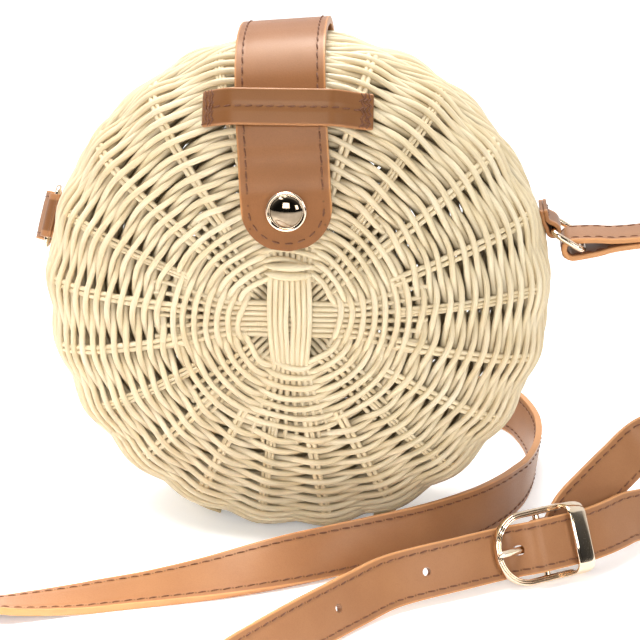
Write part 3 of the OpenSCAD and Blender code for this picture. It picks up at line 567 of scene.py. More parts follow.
def tan_leather(name, light, dark, edge, width, row, pitch):
    """Smooth finished calf leather with painted edges: even tan, a fine pebble grain, a low sheen,
    and needle holes along the stitch rows. The edge colour is edge paint made lighter as a painted
    highlight on the rounded edge, and the needle holes are painted shade."""
    material, n = new_material(name)
    flat = n.attribute("flat", 'Vector')
    parts = n.add('SeparateXYZ', {0: flat}).node.outputs
    across = n.maths('ABSOLUTE', parts['Y'])
    # Pebble grain 0.6 mm across, cloudy dye over 20 mm
    grain = n.add('TexVoronoi', {'Vector': flat, 'Scale': 1.7}, feature='SMOOTH_F1')
    fine = n.cloud(flat, 2.6, 3.0)
    base = n.ramp(n.cloud(flat, 0.05, 3.0), (0.35, dark), (0.65, light))
    base = n.shaded(0.7, base, n.ramp(fine, (0.35, 0.9), (0.55, 1.0)))
    # Edge colour: edge paint, lightened as a painted highlight where the rounded edge catches the
    # light
    base = n.mix(n.between(across, width / 2 - 0.75, width / 2 - 0.25), base, edge)
    height = n.maths('ADD', n.times(grain, 0.5), n.times(fine, 0.5))
    if row:
        # Needle holes 0.7 mm wide at each end of a stitch, painted as dark dots of shade; the
        # groove under each row is also darkened a little
        turn = n.maths('FRACT', n.maths('DIVIDE', parts['X'], pitch))
        step = n.maths('ABSOLUTE', n.maths('SUBTRACT', turn, 0.5))
        du = n.times(n.maths('SUBTRACT', 0.5, step), pitch)
        dv = n.maths('SUBTRACT', across, width / 2 - row)
        away = n.maths('SQRT', n.maths('ADD', n.times(du, du), n.times(dv, dv)))
        seat = n.between(n.maths('ABSOLUTE', dv), 1.1, 0.1)
        base = n.mix(n.times(seat, 0.3), base, dark)
        base = n.mix(n.times(n.between(away, 0.5, 0.2), 0.6), base, "#452715")
        height = n.maths('SUBTRACT', height, n.times(seat, 2.0))
    n.surface(base, n.ramp(fine, (0.3, 0.48), (0.7, 0.38)), height, fine_relief, {
        'IOR': 1.5, 'Coat Weight': 0.15, 'Coat Roughness': 0.3, 'Specular IOR Level': 0.4,
        'Specular Tint': "#FFE0BE"})
    return material


def waxed_thread():
    """Waxed polyester thread, two-ply: reddish brown, twisted, dull."""
    material, n = new_material("waxed_brown_thread")
    fuzz = n.cloud(n.place(), 2500.0)
    base = n.ramp(fuzz, (0.35, "#5A321B"), (0.65, "#784A2C"))
    n.surface(base, 0.65, fuzz, (0.4, 0.0001), {})
    return material


def plated_metal(name, bright, dull, low, high):
    """Zinc or steel, polished and plated: a clear mirror with faint cloudy wear."""
    material, n = new_material(name)
    # Wear over 4 mm, hairlines 0.3 mm apart
    place = n.place()
    wear = n.cloud(place, 250.0, 3.0)
    base = n.ramp(wear, (0.35, dull), (0.65, bright))
    rough = n.ramp(wear, (0.35, high), (0.65, low))
    n.surface(base, rough, n.cloud(place, 3200.0, 1.0), (0.06, 0.00003), {'Metallic': 1.0})
    return material


strap_w = 18.0
strap_t = 2.4
flap_w = 30.5
flap_t = 2.6
stitch_in = 2.2
stitch_pitch = 4.2
stitch_share = 0.66
flap_row = 2.6
flap_pitch = 4.0
keeper_w = 12.5
strip_w = 9.0
strip_row = 1.6
strip_pitch = 3.1
reed_material = peeled_reed()
strap_material = tan_leather("tan_calf_leather_strap", "#9C6C48", "#966643", "#CC9260",
                             strap_w, stitch_in, stitch_pitch)
flap_material = tan_leather("tan_calf_leather_flap", "#885630", "#83522D", "#B67E4C",
                            flap_w, flap_row, flap_pitch)
plain_leather = tan_leather("tan_calf_leather_plain", "#7D502D", "#794D2B", "#A36F46",
                            keeper_w, 0, 1)
pale_leather = tan_leather("undyed_leather", "#E3D2AC", "#D8C59C", "#D2BC90",
                           strip_w, strip_row, strip_pitch)
thread_material = waxed_thread()
gold = plated_metal("pale_gold_plate_polished", "#F2DFC8", "#E6CFB2", 0.06, 0.13)
# Darker plate for the snap's dome: a painted dark reflection of the room in front of it
dark_reflection_plate = plated_metal("gold_mirror_painted_dark", "#948470", "#83735F", 0.04, 0.08)
steel = plated_metal("nickel_steel_polished", "#D6D4CF", "#BDBBB5", 0.22, 0.34)


# ---- leather cut flat, then bent
class Route:
    """The middle of a band through space: where it runs, its grain side, thickness, width."""

    lie_gap = 0.15

    def __init__(self, knots, sub=8, floor=True):
        count = len(knots) - 1
        keys = [(i, k / sub) for i in range(count) for k in range(sub)] + [(count, 0.0)]
        middles, grains, thicks, wides = zip(*knots)
        pts = [spline(middles, i, u) for i, u in keys]
        self.rows = []
        along = 0.0
        for j, (i, u) in enumerate(keys):
            t = (pick(pts, j + 1) - pick(pts, j - 1)).normalized()
            g0 = spline(grains, i, u)
            g = (g0 - g0.dot(t) * t).normalized()
            w = t.cross(g)
            thick, wide = (pick(sizes, i) * (1 - u) + pick(sizes, i + 1) * u
                           for sizes in (thicks, wides))
            p = pts[j].copy()
            if floor:
                p.z = max(p.z, wide / 2 * abs(w.z) + thick / 2 * abs(g.z) + self.lie_gap)
            if self.rows:
                along += (p - self.rows[-1][1]).length
            self.rows.append((along, p, g, w, thick, wide))
        self.length = along

    def at(self, u):
        after = bisect_right(self.rows, u, 1, len(self.rows) - 1, key=lambda row: row[0])
        a, b = self.rows[after - 1], self.rows[after]
        f = (u - a[0]) / (b[0] - a[0]) if b[0] > a[0] else 0.0
        g = max(0.0, min(1.0, f))
        return (a[1].lerp(b[1], f), *(a[i].lerp(b[i], g).normalized() for i in (2, 3)),
                a[4] + (b[4] - a[4]) * g, a[5] + (b[5] - a[5]) * g)

    def nearest(self, place):
        return min(self.rows, key=lambda row: (row[1] - place).length)[0]


def cut_band(name, length, width, thick, steps, across=14, tip=None, crown=0.12, groove=0.18,
             row=2.2, edge=0.42):
    """A flat band of stitched leather, drawn in millimetres as metres: along X, wide on Y,
    grain side up. The tip gives the half width as a share at a place along it."""
    deselect()
    bpy.ops.mesh.primitive_grid_add(x_subdivisions=steps, y_subdivisions=across, size=1)
    obj = bpy.context.object
    obj.name = obj.data.name = name
    for vertex in obj.data.vertices:
        u = (vertex.co.x + 0.5) * length
        share = vertex.co.y * 2
        vertex.co = (u, share * width / 2 * (tip(u) if tip else 1.0), 0)
    apply_modifier(obj, 'SOLIDIFY', thickness=thick, offset=0.0)
    # Crown between the stitch rows, and a shallow groove under each row
    for vertex in obj.data.vertices:
        v = abs(vertex.co.y)
        dip = groove * exp(-((v - (width / 2 - row)) / 0.8) ** 2)
        if vertex.co.z > 0:
            vertex.co.z += crown * (1 - (2 * v / width) ** 2) - dip
        else:
            vertex.co.z += 0.5 * dip
    bevel(obj, edge * thick, 3, 50)
    return obj


def new_cutter(u, long, wide=0):
    """A cutter through the leather: a slot, or a round one where no width is given."""
    deselect()
    if wide:
        bpy.ops.mesh.primitive_cube_add(size=1, location=(u, 0, 0))
        bpy.context.object.scale = (long, wide, 8)
    else:
        bpy.ops.mesh.primitive_cylinder_add(vertices=32, radius=long / 2, depth=8,
                                            location=(u, 0, 0))
    cutter = take(bpy.context.object)
    bpy.ops.object.transform_apply(location=True, rotation=True, scale=True)
    return cutter


def punch(band, cutters):
    """Cuts the holes while the leather is flat."""
    for cutter in cutters:
        apply_modifier(band, 'BOOLEAN', operation='DIFFERENCE', object=cutter, solver='EXACT')
        bpy.data.objects.remove(cutter, do_unlink=True)


def bend(obj, where, unit=1):
    """Moves each point of a piece, flat or in its own frame, to its place in space."""
    for vertex in obj.data.vertices:
        vertex.co = where(*(vertex.co / unit)) * MM
    obj.data.update()


def finish_leather(band, where, material, body, *nodes, shift=0.0):
    """Bends a cut band and dresses it. Each point keeps its place on the flat leather, for
    the grain and the needle holes."""
    flat = band.data.attributes.new("flat", 'FLOAT_VECTOR', 'POINT')
    for vertex in band.data.vertices:
        flat.data[vertex.index].vector = (vertex.co.x + shift, vertex.co.y, vertex.co.z)
    bend(band, where)
    smooth_faces(band, 45)
    return dress(band, material, body, "leather", *nodes)


def along_route(route, width, thick):
    def where(u, v, w):
        p, g, side, th, wd = route.at(u)
        return p + side * (v * wd / width) + g * (w * th / thick)
    return where


def sew(name, places, long, where, body):
    """Short raised stitches at places (u, v, w, heading, up) of the flat leather, then bent."""
    radius, bow, sides, rings = 0.3, 0.16, 6, 5
    points, faces = [], []
    for u, v, w, heading, up in places:
        base = len(points)
        ca, sa = polar(1, heading)
        for k in range(rings):
            f = k / (rings - 1)
            x = (f - 0.5) * long
            size = radius * (0.35 + 0.65 * sin(pi * (0.08 + 0.84 * f)) ** 0.5)
            z = up * (bow * sin(pi * f) - 0.1)
            for j in range(sides):
                y, out = polar(size, 2 * pi * j / sides)
                points.append((u + x * ca - y * sa, v + x * sa + y * ca, w + z + out))
        faces += skin(rings, sides, base)
        faces.append(tuple(range(base + sides - 1, base - 1, -1)))
        faces.append(tuple(range(base + (rings - 1) * sides, base + rings * sides)))
    thread = mesh_of(name, [(x / MM, y / MM, z / MM) for x, y, z in points], faces)
    smooth_faces(thread)
    bend(thread, where)
    return dress(thread, thread_material, body, "leather")


# ---- tabs, rings and buckle places
fit_gap = 0.3
eye_gap = 0.3
wire_d = 2.2
tab_t = 1.4
tab_l = 8.0
tab_w = 16.0
tab_angle = 12.5
ring_w = 24.0
ring_h = 14.6
ring_corner = 3.0
eye_in = wire_d / 2 + eye_gap
eye_out = eye_in + tab_t
pivot_out = eye_out + 0.15
tab_y = seam_y + 10.2
ring_span = ring_h - wire_d
ring_side = ring_w - wire_d
tab_rolls = {-1: 70.0, 1: 0.0}
ring_drops = {-1: 85.0, 1: 43.0}
end_drops = {-1: 86.0, 1: 5.0}


def tab_dir(side, v):
    roll, lean_up = radians(tab_rolls[side]), radians(tab_angle)
    x, y, z = v
    y, z = y * cos(roll) - z * sin(roll), y * sin(roll) + z * cos(roll)
    x, z = x * cos(lean_up) - z * sin(lean_up), x * sin(lean_up) + z * cos(lean_up)
    return Vector((side * x, y, z))


def tab_world(side, v):
    return Vector((0, tab_y, centre_z)) + tab_dir(side, (v[0] + basket_r + fit_gap, v[1], v[2]))


def ring_place(side, x, y):
    drop = radians(ring_drops[side])
    return tab_world(side, (pivot_out + x * cos(drop), y, -x * sin(drop)))


lean, heading = radians(25), radians(31.5)
rail_w, rail_t = 2.4, 3.2
window_w = strap_w + 3.0
frame_w = window_w + 2 * rail_w
frame_l = 34.2
frame_corner = frame_w / 2 - 0.5
bar_at = 19.0
bar_d = 2.4
band_w = 6.5
band_t = 1.6
skive_t = 1.4
prong_w = 3.0
buckle_tip = Vector((0.798 * basket_r, -0.705 * basket_r,
                     frame_w / 2 * cos(lean) + rail_t / 2 * sin(lean)))
buckle_t = Vector((cos(heading), sin(heading), 0))
buckle_w = Vector((-sin(lean) * sin(heading), sin(lean) * cos(heading), cos(lean)))
buckle_n = Vector((cos(lean) * sin(heading), -cos(lean) * cos(heading), sin(lean)))


def buckle_pt(a, b, c):
    return buckle_tip + a * buckle_t + b * buckle_w + c * buckle_n


fold_in = bar_d / 2 + fit_gap
fold_out = fold_in + skive_t
strap_under = -(rail_t / 2 + fit_gap + strap_t / 2)
strap_over = fold_out + fit_gap + strap_t / 2
band_in = strap_over + strap_t / 2 + fit_gap
band_out = band_in + band_t
rails_to = frame_l - band_w


def grain(t, roll):
    left = Vector((-t.y, t.x, 0)).normalized()
    return cos(radians(roll)) * left + sin(radians(roll)) * t.cross(left)


# Fold of a strap end round its ring: the band comes back under itself
fold_l = 25.0
fold_leaf = 0.92 * strap_t
leaf_mid = fold_leaf / 2 + eye_gap / 2
loop_mid = wire_d / 2 + 3.3 * eye_gap + fold_leaf / 2
loop_back = 1.6 * wire_d
loop_open = 0.42 * fold_l
leaf = ((0.2 * fold_l, 0.8 * loop_mid), (loop_open, 1.3 * leaf_mid), (0.7 * fold_l, leaf_mid),
        (fold_l, leaf_mid))
fold_end = [(x, -z, 0, -1) for x, z in reversed(leaf)]
for a in range(180, 361, 30):
    ca, sa = polar(1, radians(a))
    fold_end.append((-loop_back + loop_mid * sa, loop_mid * ca, sa, ca))
fold_end += [(x, z, 0, 1) for x, z in (*leaf, (fold_l + 3 * strap_t, leaf_mid))]


def end_frame(side):
    drop = radians(end_drops[side])
    place = ring_place(side, ring_span, 0)
    along = tab_dir(side, (cos(drop), 0, -sin(drop)))
    up = tab_dir(side, (sin(drop), 0, cos(drop)))
    return place, along, up


def fold_knots(side):
    place, along, up = end_frame(side)
    return [(place + q[0] * along + q[1] * up, q[2] * along + q[3] * up, fold_leaf, strap_w)
            for q in fold_end]


def in_buckle(q):
    return buckle_pt(q[0] * bar_at, q[1] * strap_w, q[2] * rail_t)


# Short part of the strap, from the right ring to the buckle's bar
short_route_shares = [
    ((1.395, 0.09, 1.2), (0.05, 0.22, 0.97)), ((1.585, 0.065, 1.165), (0.5, 0.15, 0.85)),
    ((1.735, 0.03, 1), (0.9, -0.05, 0.4)), ((1.78, -0.01, 0.78), (0.97, -0.2, -0.1)),
    ((1.7, -0.055, 0.58), (0.75, -0.55, -0.35)), ((1.56, -0.1, 0.455), (0.42, -0.85, -0.2))]
short_end_shares = [
    (3.9, 1.5, -1.8, 1), (3.15, 1.12, -1.85, 1), (2.5, 0.76, -1.75, 1), (2.02, 0.48, -1.55, 0.95),
    (1.68, 0.2, -1.1, 0.8), (1.44, 0.04, -0.46, 0.64), (1.27, 0, -0.06, 0.6), (1.15, 0, 0.34, 0.58)]
bar_fold_shares = [(1.07, 0, -0.71), (1.18, 0, -0.79), (1.32, 0, -0.97), (1.5, 0, -1.28),
                   (1.68, 0.04, -1.73)]
fold_mid = fold_in + skive_t / 2
bar_fold = []
for a in range(-25, 181, 25):
    ca, sa = polar(1, radians(a))
    bar_fold.append((buckle_pt(bar_at - fold_mid * sa, 0, fold_mid * ca),
                     ca * buckle_n - sa * buckle_t, skive_t, strap_w))
short_knots = (
    fold_knots(1)
    + [(basket_r * Vector(q[0]), Vector(q[1]), strap_t, strap_w) for q in short_route_shares]
    + [(in_buckle(q), buckle_n, q[3] * strap_t, strap_w) for q in short_end_shares]
    + bar_fold + [(in_buckle(q), -buckle_n, skive_t, strap_w) for q in bar_fold_shares])

# Long part, from the left ring behind the bag, across the front, round and to the buckle:
# shares of the basket's radius, and the roll in degrees
behind_shares = [
    (-0.97, 0.72, 0.95, 30), (-0.95, 0.93, 0.7, 58), (-0.85, 1.14, 0.44, 62),
    (-0.62, 1.3, 0.25, 48), (-0.32, 1.35, 0.16, 26), (0, 1.32, 0.11, 10), (0.34, 1.25, 0.1, 2),
    (0.61, 1.14, 0.1, -2), (0.79, 1.02, 0.1, -4), (0.9, 0.9, 0.1, -6), (0.952, 0.773, 0.1, -7),
    (0.985, 0.62, 0.1, -8), (0.993, 0.48, 0.1, -8), (0.986, 0.346, 0.1, -7),
    (0.966, 0.223, 0.1, -6), (0.933, 0.101, 0.1, -4), (0.894, 0.016, 0.1, 0),
    (0.846, -0.078, 0.1, 4), (0.763, -0.197, 0.1, 9), (0.652, -0.31, 0.1, 14),
    (0.506, -0.422, 0.1, 17), (0.36, -0.51, 0.098, 20), (0.21, -0.594, 0.096, 25),
    (0.07, -0.66, 0.088, 36), (-0.09, -0.72, 0.072, 52), (-0.28, -0.785, 0.05, 68),
    (-0.5, -0.85, 0.03, 80), (-0.74, -0.922, 0.02, 87), (-0.98, -1.01, 0.03, 98),
    (-1.22, -1.105, 0.06, 114), (-1.46, -1.3, 0.075, 126), (-1.58, -1.56, 0.08, 134),
    (-1.5, -1.84, 0.085, 140), (-1.26, -2.04, 0.089, 144), (-0.94, -2.11, 0.09, 145),
    (-0.62, -2.04, 0.09, 146), (-0.36, -1.87, 0.09, 147), (-0.18, -1.65, 0.092, 149),
    (-0.05, -1.46, 0.094, 151), (0.07, -1.29, 0.0955, 153), (0.185, -1.14, 0.0965, 155),
    (0.29, -1.01, 0.1, 155), (0.42, -0.885, 0.112, 155)]
lead_in_a = -0.62 * bar_at
climb_a, climb_b = 0.27 * bar_at, 0.81 * bar_at


def climb(a):
    return strap_under + (strap_over - strap_under) * smooth(climb_a, climb_b, a)


through_shares = (0.14, 0.27, 0.4, 0.47, 0.54, 0.61, 0.68, 0.81, 1, 1.25, 1.5, 1.82)
tail_shares = [(2.25, 0.03, 0.95), (2.65, 0.07, 0.2), (3.1, 0.12, -0.7),
               (3.8, 0.08, -2), (4.5, 0.04, -3.1), (4.95, 0.08, -3.8), (5.2, 0.1, -4.15)]
lead_in = buckle_pt(lead_in_a, 0, strap_under)
left_place, left_along, _ = end_frame(-1)
line_points = [left_place + fold_l * left_along,
               *(basket_r * Vector(q[:3]) for q in behind_shares), lead_in]
long_knots = fold_knots(-1)
for i, q in enumerate(behind_shares):
    ahead = (line_points[i + 2] - line_points[i]).normalized()
    long_knots.append((line_points[i + 1], grain(ahead, q[3]), strap_t, strap_w))
long_knots.append((lead_in, buckle_n, strap_t, strap_w))
long_knots += [(buckle_pt(q * bar_at, 0, climb(q * bar_at)), buckle_n, strap_t, strap_w)
               for q in through_shares]
long_knots += [(in_buckle(q), buckle_n, strap_t, strap_w) for q in tail_shares]
long_route = Route(long_knots)
short_route = Route(short_knots)

# ---- straps
def strap_thread(name, route, end_gap, skip=(0, 0)):
    """Two rows of stitches on both faces, with none between the two places of skip."""
    start = 3
    places = []
    for k in range(int((route.length - end_gap - start) / stitch_pitch)):
        u = (ceil(start / stitch_pitch) + k + 0.5) * stitch_pitch
        if skip[0] < u < skip[1]:
            continue
        for side in (-1, 1):
            for up in (1, -1):
                places.append((u, side * (strap_w / 2 - stitch_in), up * (strap_t / 2 - 0.02),
                               0.1 * up * side, up))
    sew(name, places, stitch_pitch * stitch_share, along_route(route, strap_w, strap_t),
        "back_half")


def long_strap():
    length, tip_l, hole_pitch, prong_at = long_route.length, 9.0, 39.0, 0.6 * bar_at
    hole_u = long_route.nearest(buckle_pt(prong_at, 0, climb(prong_at)))

    def tip(u):
        left = length - u
        return sqrt(max(0.002, 1 - (1 - min(left, tip_l) / tip_l) ** 2))
    band = cut_band("long_strap", length, strap_w, strap_t, 430, tip=tip)
    cutters = [new_cutter(hole_u - hole_pitch * i, 3.0) for i in range(1, 5)]
    # The prong has drawn out the hole in use
    in_use = new_cutter(0, 3.5)
    for vertex in in_use.data.vertices:
        vertex.co.x += hole_u - 2.4 + copysign(0.5, vertex.co.x)
    punch(band, cutters + [in_use])
    finish_leather(band, along_route(long_route, strap_w, strap_t), strap_material, "back_half",
                   "strap_long")
    strap_thread("long_strap_thread", long_route, 12)


def short_strap():
    slot_l = 9.0
    bar_u = short_route.nearest(buckle_pt(bar_at - fold_mid, 0, 0))
    band = cut_band("short_strap", short_route.length, strap_w, strap_t, 220)
    punch(band, [new_cutter(bar_u, slot_l, prong_w + 0.6)])
    finish_leather(band, along_route(short_route, strap_w, strap_t), strap_material, "back_half",
                   "strap_short", shift=2000)
    strap_thread("short_strap_thread", short_route, 2, (bar_u - slot_l, bar_u + slot_l))


# ---- flap
flap_turn = radians(4.5)
flap_shift = 2.6
leather_gap = 0.4
snap_stack = 3.3
# Heights above the middle of the face: the flap's tip, its snap, the keeper
tip_at, snap_at, keeper_at = 26.0, 39.5, 71.4
s_snap = lookup(snap_at, s_of_r_table)
s_keeper = lookup(keeper_at, s_of_r_table)
snap_flat = 7.3
bridge_table = [(0.5, 0.13), (0.62, 0.16), (0.75, 0.22), (0.85, 0.36), (0.93, 0.52), (1, 0.64)]
tongue_table = [(0.62, 0.42), (0.68, 0.20), (0.76, 0.19), (0.85, 0.33), (0.93, 0.5), (1, 0.64)]


def rise_of(s):
    n = arc_normal(s)
    return atan2(n.x, n.y)


def side_pt(side, s, lift):
    r, h = off_arc(s, lift)
    return on_half(side, 0, side * r, h)


at_flap = (Matrix.Translation((0, 0, centre_z)) @ Matrix.Rotation(-flap_turn, 4, 'Y')
           @ Matrix.Translation((flap_shift, 0, -centre_z)))


def dome_frame(s, lift):
    return (Matrix.Translation(side_pt(1, s, 0))
            @ Matrix.Rotation(pi / 2 - rise_of(s), 4, 'X') @ Matrix.Translation((0, 0, lift)))


def over_front(s):
    """How far the flap's under face stands off the front half."""
    return max(0.6, snap_stack * lookup(s / arc_total, tongue_table))


def flap_route():
    half_t = flap_t / 2
    s_bridge_end = lookup(snap_at + 18, s_of_r_table)
    s_above = s_snap + 2.2 * snap_flat
    places = []
    for k in range(9, 0, -1):
        s = arc_total + k * (s_bridge_end - arc_total) / 9
        places.append(side_pt(-1, s, snap_stack * lookup(s / arc_total, bridge_table) + half_t))
    places.append(Vector((0, seam_y, centre_z + basket_r + snap_stack * 0.64 + half_t)))
    for k in range(1, 11):
        s = arc_total + k * (s_above - arc_total) / 10
        places.append(side_pt(1, s, over_front(s) + half_t))
    n, u = arc_normal(s_snap), arc_tangent(s_snap)
    for along in (snap_flat, 0.0, -7.0, (tip_at - snap_at) / cos(rise_of(s_snap))):
        p = on_arc(s_snap) + (snap_stack + half_t) * n + along * u
        places.append(Vector((0, seam_y - seam_gap / 2 - p.y, centre_z + p.x)))
    knots = []
    for i, p in enumerate(places):
        t = (pick(places, i + 1) - pick(places, i - 1)).normalized()
        knots.append((at_flap @ p, at_flap.to_3x3() @ t.cross(Vector((-1, 0, 0))), flap_t, flap_w))
    return Route(knots, 6, False)


def flap_pieces():
    route = flap_route()
    length, tip_r = route.length, 14.5

    def tip(u):
        left = max(0.0, length - u)
        if left >= tip_r:
            return 1.0
        round_w = sqrt(max(0.0, tip_r ** 2 - (tip_r - left) ** 2))
        return (flap_w / 2 - tip_r + round_w) / (flap_w / 2)
    band = cut_band("flap_leather", length, flap_w, flap_t, 150, 24, tip, crown=0.25,
                    groove=0.22, row=flap_row, edge=0.4)
    where = along_route(route, flap_w, flap_t)
    finish_leather(band, where, flap_material, None, "flap_bridge", "flap_tongue")
    # Stitches follow both sides and the round tip
    places = []
    straight = length - tip_r
    for k in range(int((straight - 2) / flap_pitch)):
        u = (k + 0.5) * flap_pitch + 0.2
        for v in (-(flap_w / 2 - flap_row), flap_w / 2 - flap_row):
            places += [(u, v, flap_t / 2, 0.1, 1), (u, v, -(flap_t / 2 + 0.05), 0.1, -1)]
    radius = tip_r - flap_row
    turns = int(pi * radius / flap_pitch)
    for k in range(turns):
        a = -pi / 2 + pi * (k + 0.5) / turns
        for up in (1, -1):
            places.append((straight + radius * cos(a), (radius + 0.7) * sin(a),
                           up * (flap_t / 2 + 0.03), a + pi / 2, up))
    thread = sew("flap_thread", places, flap_pitch * stitch_share, where, None)
    for piece in (band, thread):
        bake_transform(piece)


# ---- keeper over the flap
def keeper_pieces():
    length, thick, pitch = 57.5, 2.2, 3.6
    overhang, clear, slope = 1.0, 0.7, 13
    frame_k = dome_frame(s_keeper, 0)
    flap_mid = flap_shift * cos(flap_turn) - keeper_at * sin(flap_turn)
    reach = flap_w / 2 + keeper_w / 2 * tan(flap_turn) + leather_gap
    tilt = (flap_w / 2 + flap_shift) * sin(flap_turn) * sin(rise_of(s_keeper))
    top = over_front(s_keeper) + flap_t + leather_gap + tilt

    def weave_lift(x, y):
        """Height of the weave under a place, found by halving."""
        low, high = -40.0, 6.0
        for _ in range(22):
            mid = (low + high) / 2
            inside = depth_at(1, frame_k @ Vector((x, y, mid))) > 0
            low, high = (mid, high) if inside else (low, mid)
        return low

    def where(u, v, w):
        x = u - overhang - length / 2
        seat = weave_lift(x, v) + thick / 2 + clear
        inner = min(x - (flap_mid - reach), (flap_mid + reach) - x)
        share = smooth(-slope, 0.6, inner)
        lift = max(seat, seat * (1 - share) + (top + thick / 2) * share)
        return frame_k @ Vector((x, v, lift + w))
    band = cut_band("keeper_leather", length, keeper_w, thick, 64, 12, crown=0.1, groove=0,
                    edge=0.35)
    # Pressed line under the stitches along the middle
    for vertex in band.data.vertices:
        if vertex.co.z > 0:
            vertex.co.z -= 0.35 * exp(-(vertex.co.y / 0.6) ** 2)
    finish_leather(band, where, plain_leather, "front_half", "keeper_loop")
    places = [(5.4 + pitch * k, 0, thick / 2 - 0.2, 0.14, 1) for k in range(14)]
    for end in (1.3, 2.5, 3.6, length - 3.6, length - 2.5, length - 1.3):
        for k in range(8):
            stray = wander(end, 1.9 * k, 0.5)
            places.append((end + 0.5 * stray, -5.0 + 1.43 * k, thick / 2 + 0.05,
                           pi / 2 + (0.45 if k % 2 else -0.45) + stray, 1))
    sew("keeper_thread", places, 2.4, where, "front_half")


# ---- tabs on the wall, hinge strips
def tab_pieces(side, word):
    # Folded leather: up the wall, round the ring's wire, and back up outside
    mid_r = (eye_in + eye_out) / 2
    line = [(0.1, tab_l, -1, 0), (0.1, 0.7 * tab_l, -1, 0), (0.25, 0.4 * tab_l, -1, 0),
            (pivot_out - mid_r, 0.14 * tab_l, -1, 0)]
    for a in range(180, 361, 30):
        ca, sa = polar(1, radians(a))
        line.append((pivot_out + mid_r * ca, mid_r * sa, ca, sa))
    line += [(pivot_out + 0.6 * mid_r, 0.22 * tab_l, 1, 0.6), (1.3 * tab_t, 0.48 * tab_l, 1, 0.4),
             (1.12 * tab_t, 0.7 * tab_l, 1, 0), (1.12 * tab_t, tab_l, 1, 0)]
    route = Route([(tab_world(side, (x, 0, z)), tab_dir(side, (nx, 0, nz)), tab_t, tab_w)
                   for x, z, nx, nz in line], 6, False)
    band = cut_band(word + "_tab_leather", route.length, tab_w, tab_t, 60, 12, crown=0,
                    groove=0, edge=0.4)
    where = along_route(route, tab_w, tab_t)
    finish_leather(band, where, plain_leather, "back_half", word + "_tab", shift=300)
    places = [(route.length - 2.2, -6.0 + 3.0 * k, tab_t / 2 + 0.02, pi / 2, 1)
              for k in range(5)]
    sew(word + "_tab_thread", places, 2.4, where, "back_half")


def hinge_strips():
    strip_l, strip_t, strip_at = 26.0, 1.2, 21
    for side, word in ((-1, "left"), (1, "right")):
        x, z = polar(1, radians(-90 + side * strip_at))
        out = Vector((x, 0, z))
        knots = []
        for k in range(9):
            y = seam_y + strip_l / 2 - strip_l * k / 8
            sag = 0.35 * exp(-((y - seam_y) / 3.5) ** 2)
            h = abs(y - seam_y)
            r = basket_r * (1 - (h / half_depth) ** wall_power) ** (1 / face_power)
            p = Vector((0, y, centre_z)) + out * (r + 0.6 + strip_t / 2 - sag)
            knots.append((p, out, strip_t, strip_w))
        route = Route(knots, 4, True)
        band = cut_band(word + "_hinge_strip", route.length, strip_w, strip_t, 40, 10,
                        crown=0.05, groove=0.1, row=strip_row)

        def where(u, v, w):
            p, g, wide, th, wd = route.at(u)
            q = p + wide * v + g * (w - v * v / (2 * basket_r))
            q.z = max(q.z, 0.1)
            return q
        finish_leather(band, where, pale_leather, None, *(["hinge_straps"] if side < 0 else []),
                       shift=500)
        ends = [2.2 + strip_pitch * k for k in range(8)]
        row = strip_w / 2 - strip_row
        places = [(u, v, strip_t / 2, 0.05, 1) for v in (-row, row) for u in ends
                  if abs(u - strip_l / 2) > 2.5]
        thread = sew(word + "_hinge_thread", places, 2.3, where, None)
        for piece in (band, thread):
            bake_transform(piece)


# ---- metal
def swept_wire(name, places, section, cyclic):
    """A bar of the given section along a line of places; section is (out, up) around it."""
    outline = bpy.data.objects.new(name + "_section", new_curve(
        name + "_section", '2D', [[(x, y, 0, 1) for x, y in section]], True))
    scene.collection.objects.link(outline)
    curve = new_curve(name, '3D', [[(*place, 1) for place in places]], cyclic)
    curve.bevel_mode = 'OBJECT'
    curve.bevel_object = outline
    curve.use_fill_caps = not cyclic
    curve.twist_mode = 'Z_UP'
    obj = curve_to_mesh(name, curve)
    bpy.data.objects.remove(outline, do_unlink=True)
    recalculate(obj, True)
    return obj


def finish_metal(obj, place, degrees, body, *nodes):
    """Puts a piece drawn in its own frame where that frame stands, and plates it."""
    bend(obj, place, MM)
    recalculate(obj)
    smooth_faces(obj, degrees)
    return dress(obj, gold, body, "gold_metal", *nodes)


def wire_ring(side, word):
    r = ring_corner
    corners = ((ring_span - r, ring_side / 2 - r, 0), (r, ring_side / 2 - r, 90),
               (r, -ring_side / 2 + r, 180), (ring_span - r, -ring_side / 2 + r, 270))
    places = []
    for cx, cy, start in corners:
        for k in range(9):
            x, y = polar(r, radians(start + 90 * k / 8))
            places.append((cx + x, cy + y, 0))
    section = [polar(wire_d / 2, 2 * pi * k / 20) for k in range(20)]
    ring = swept_wire(word + "_wire_ring", places, section, True)
    out_x, out_z = polar(1, radians(ring_drops[side]))
    axis = tab_dir(side, (out_z, 0, out_x))
    finish_metal(ring, lambda x, y, z: ring_place(side, x, y) + z * axis, None, word + "_ring",
                 word + "_ring")


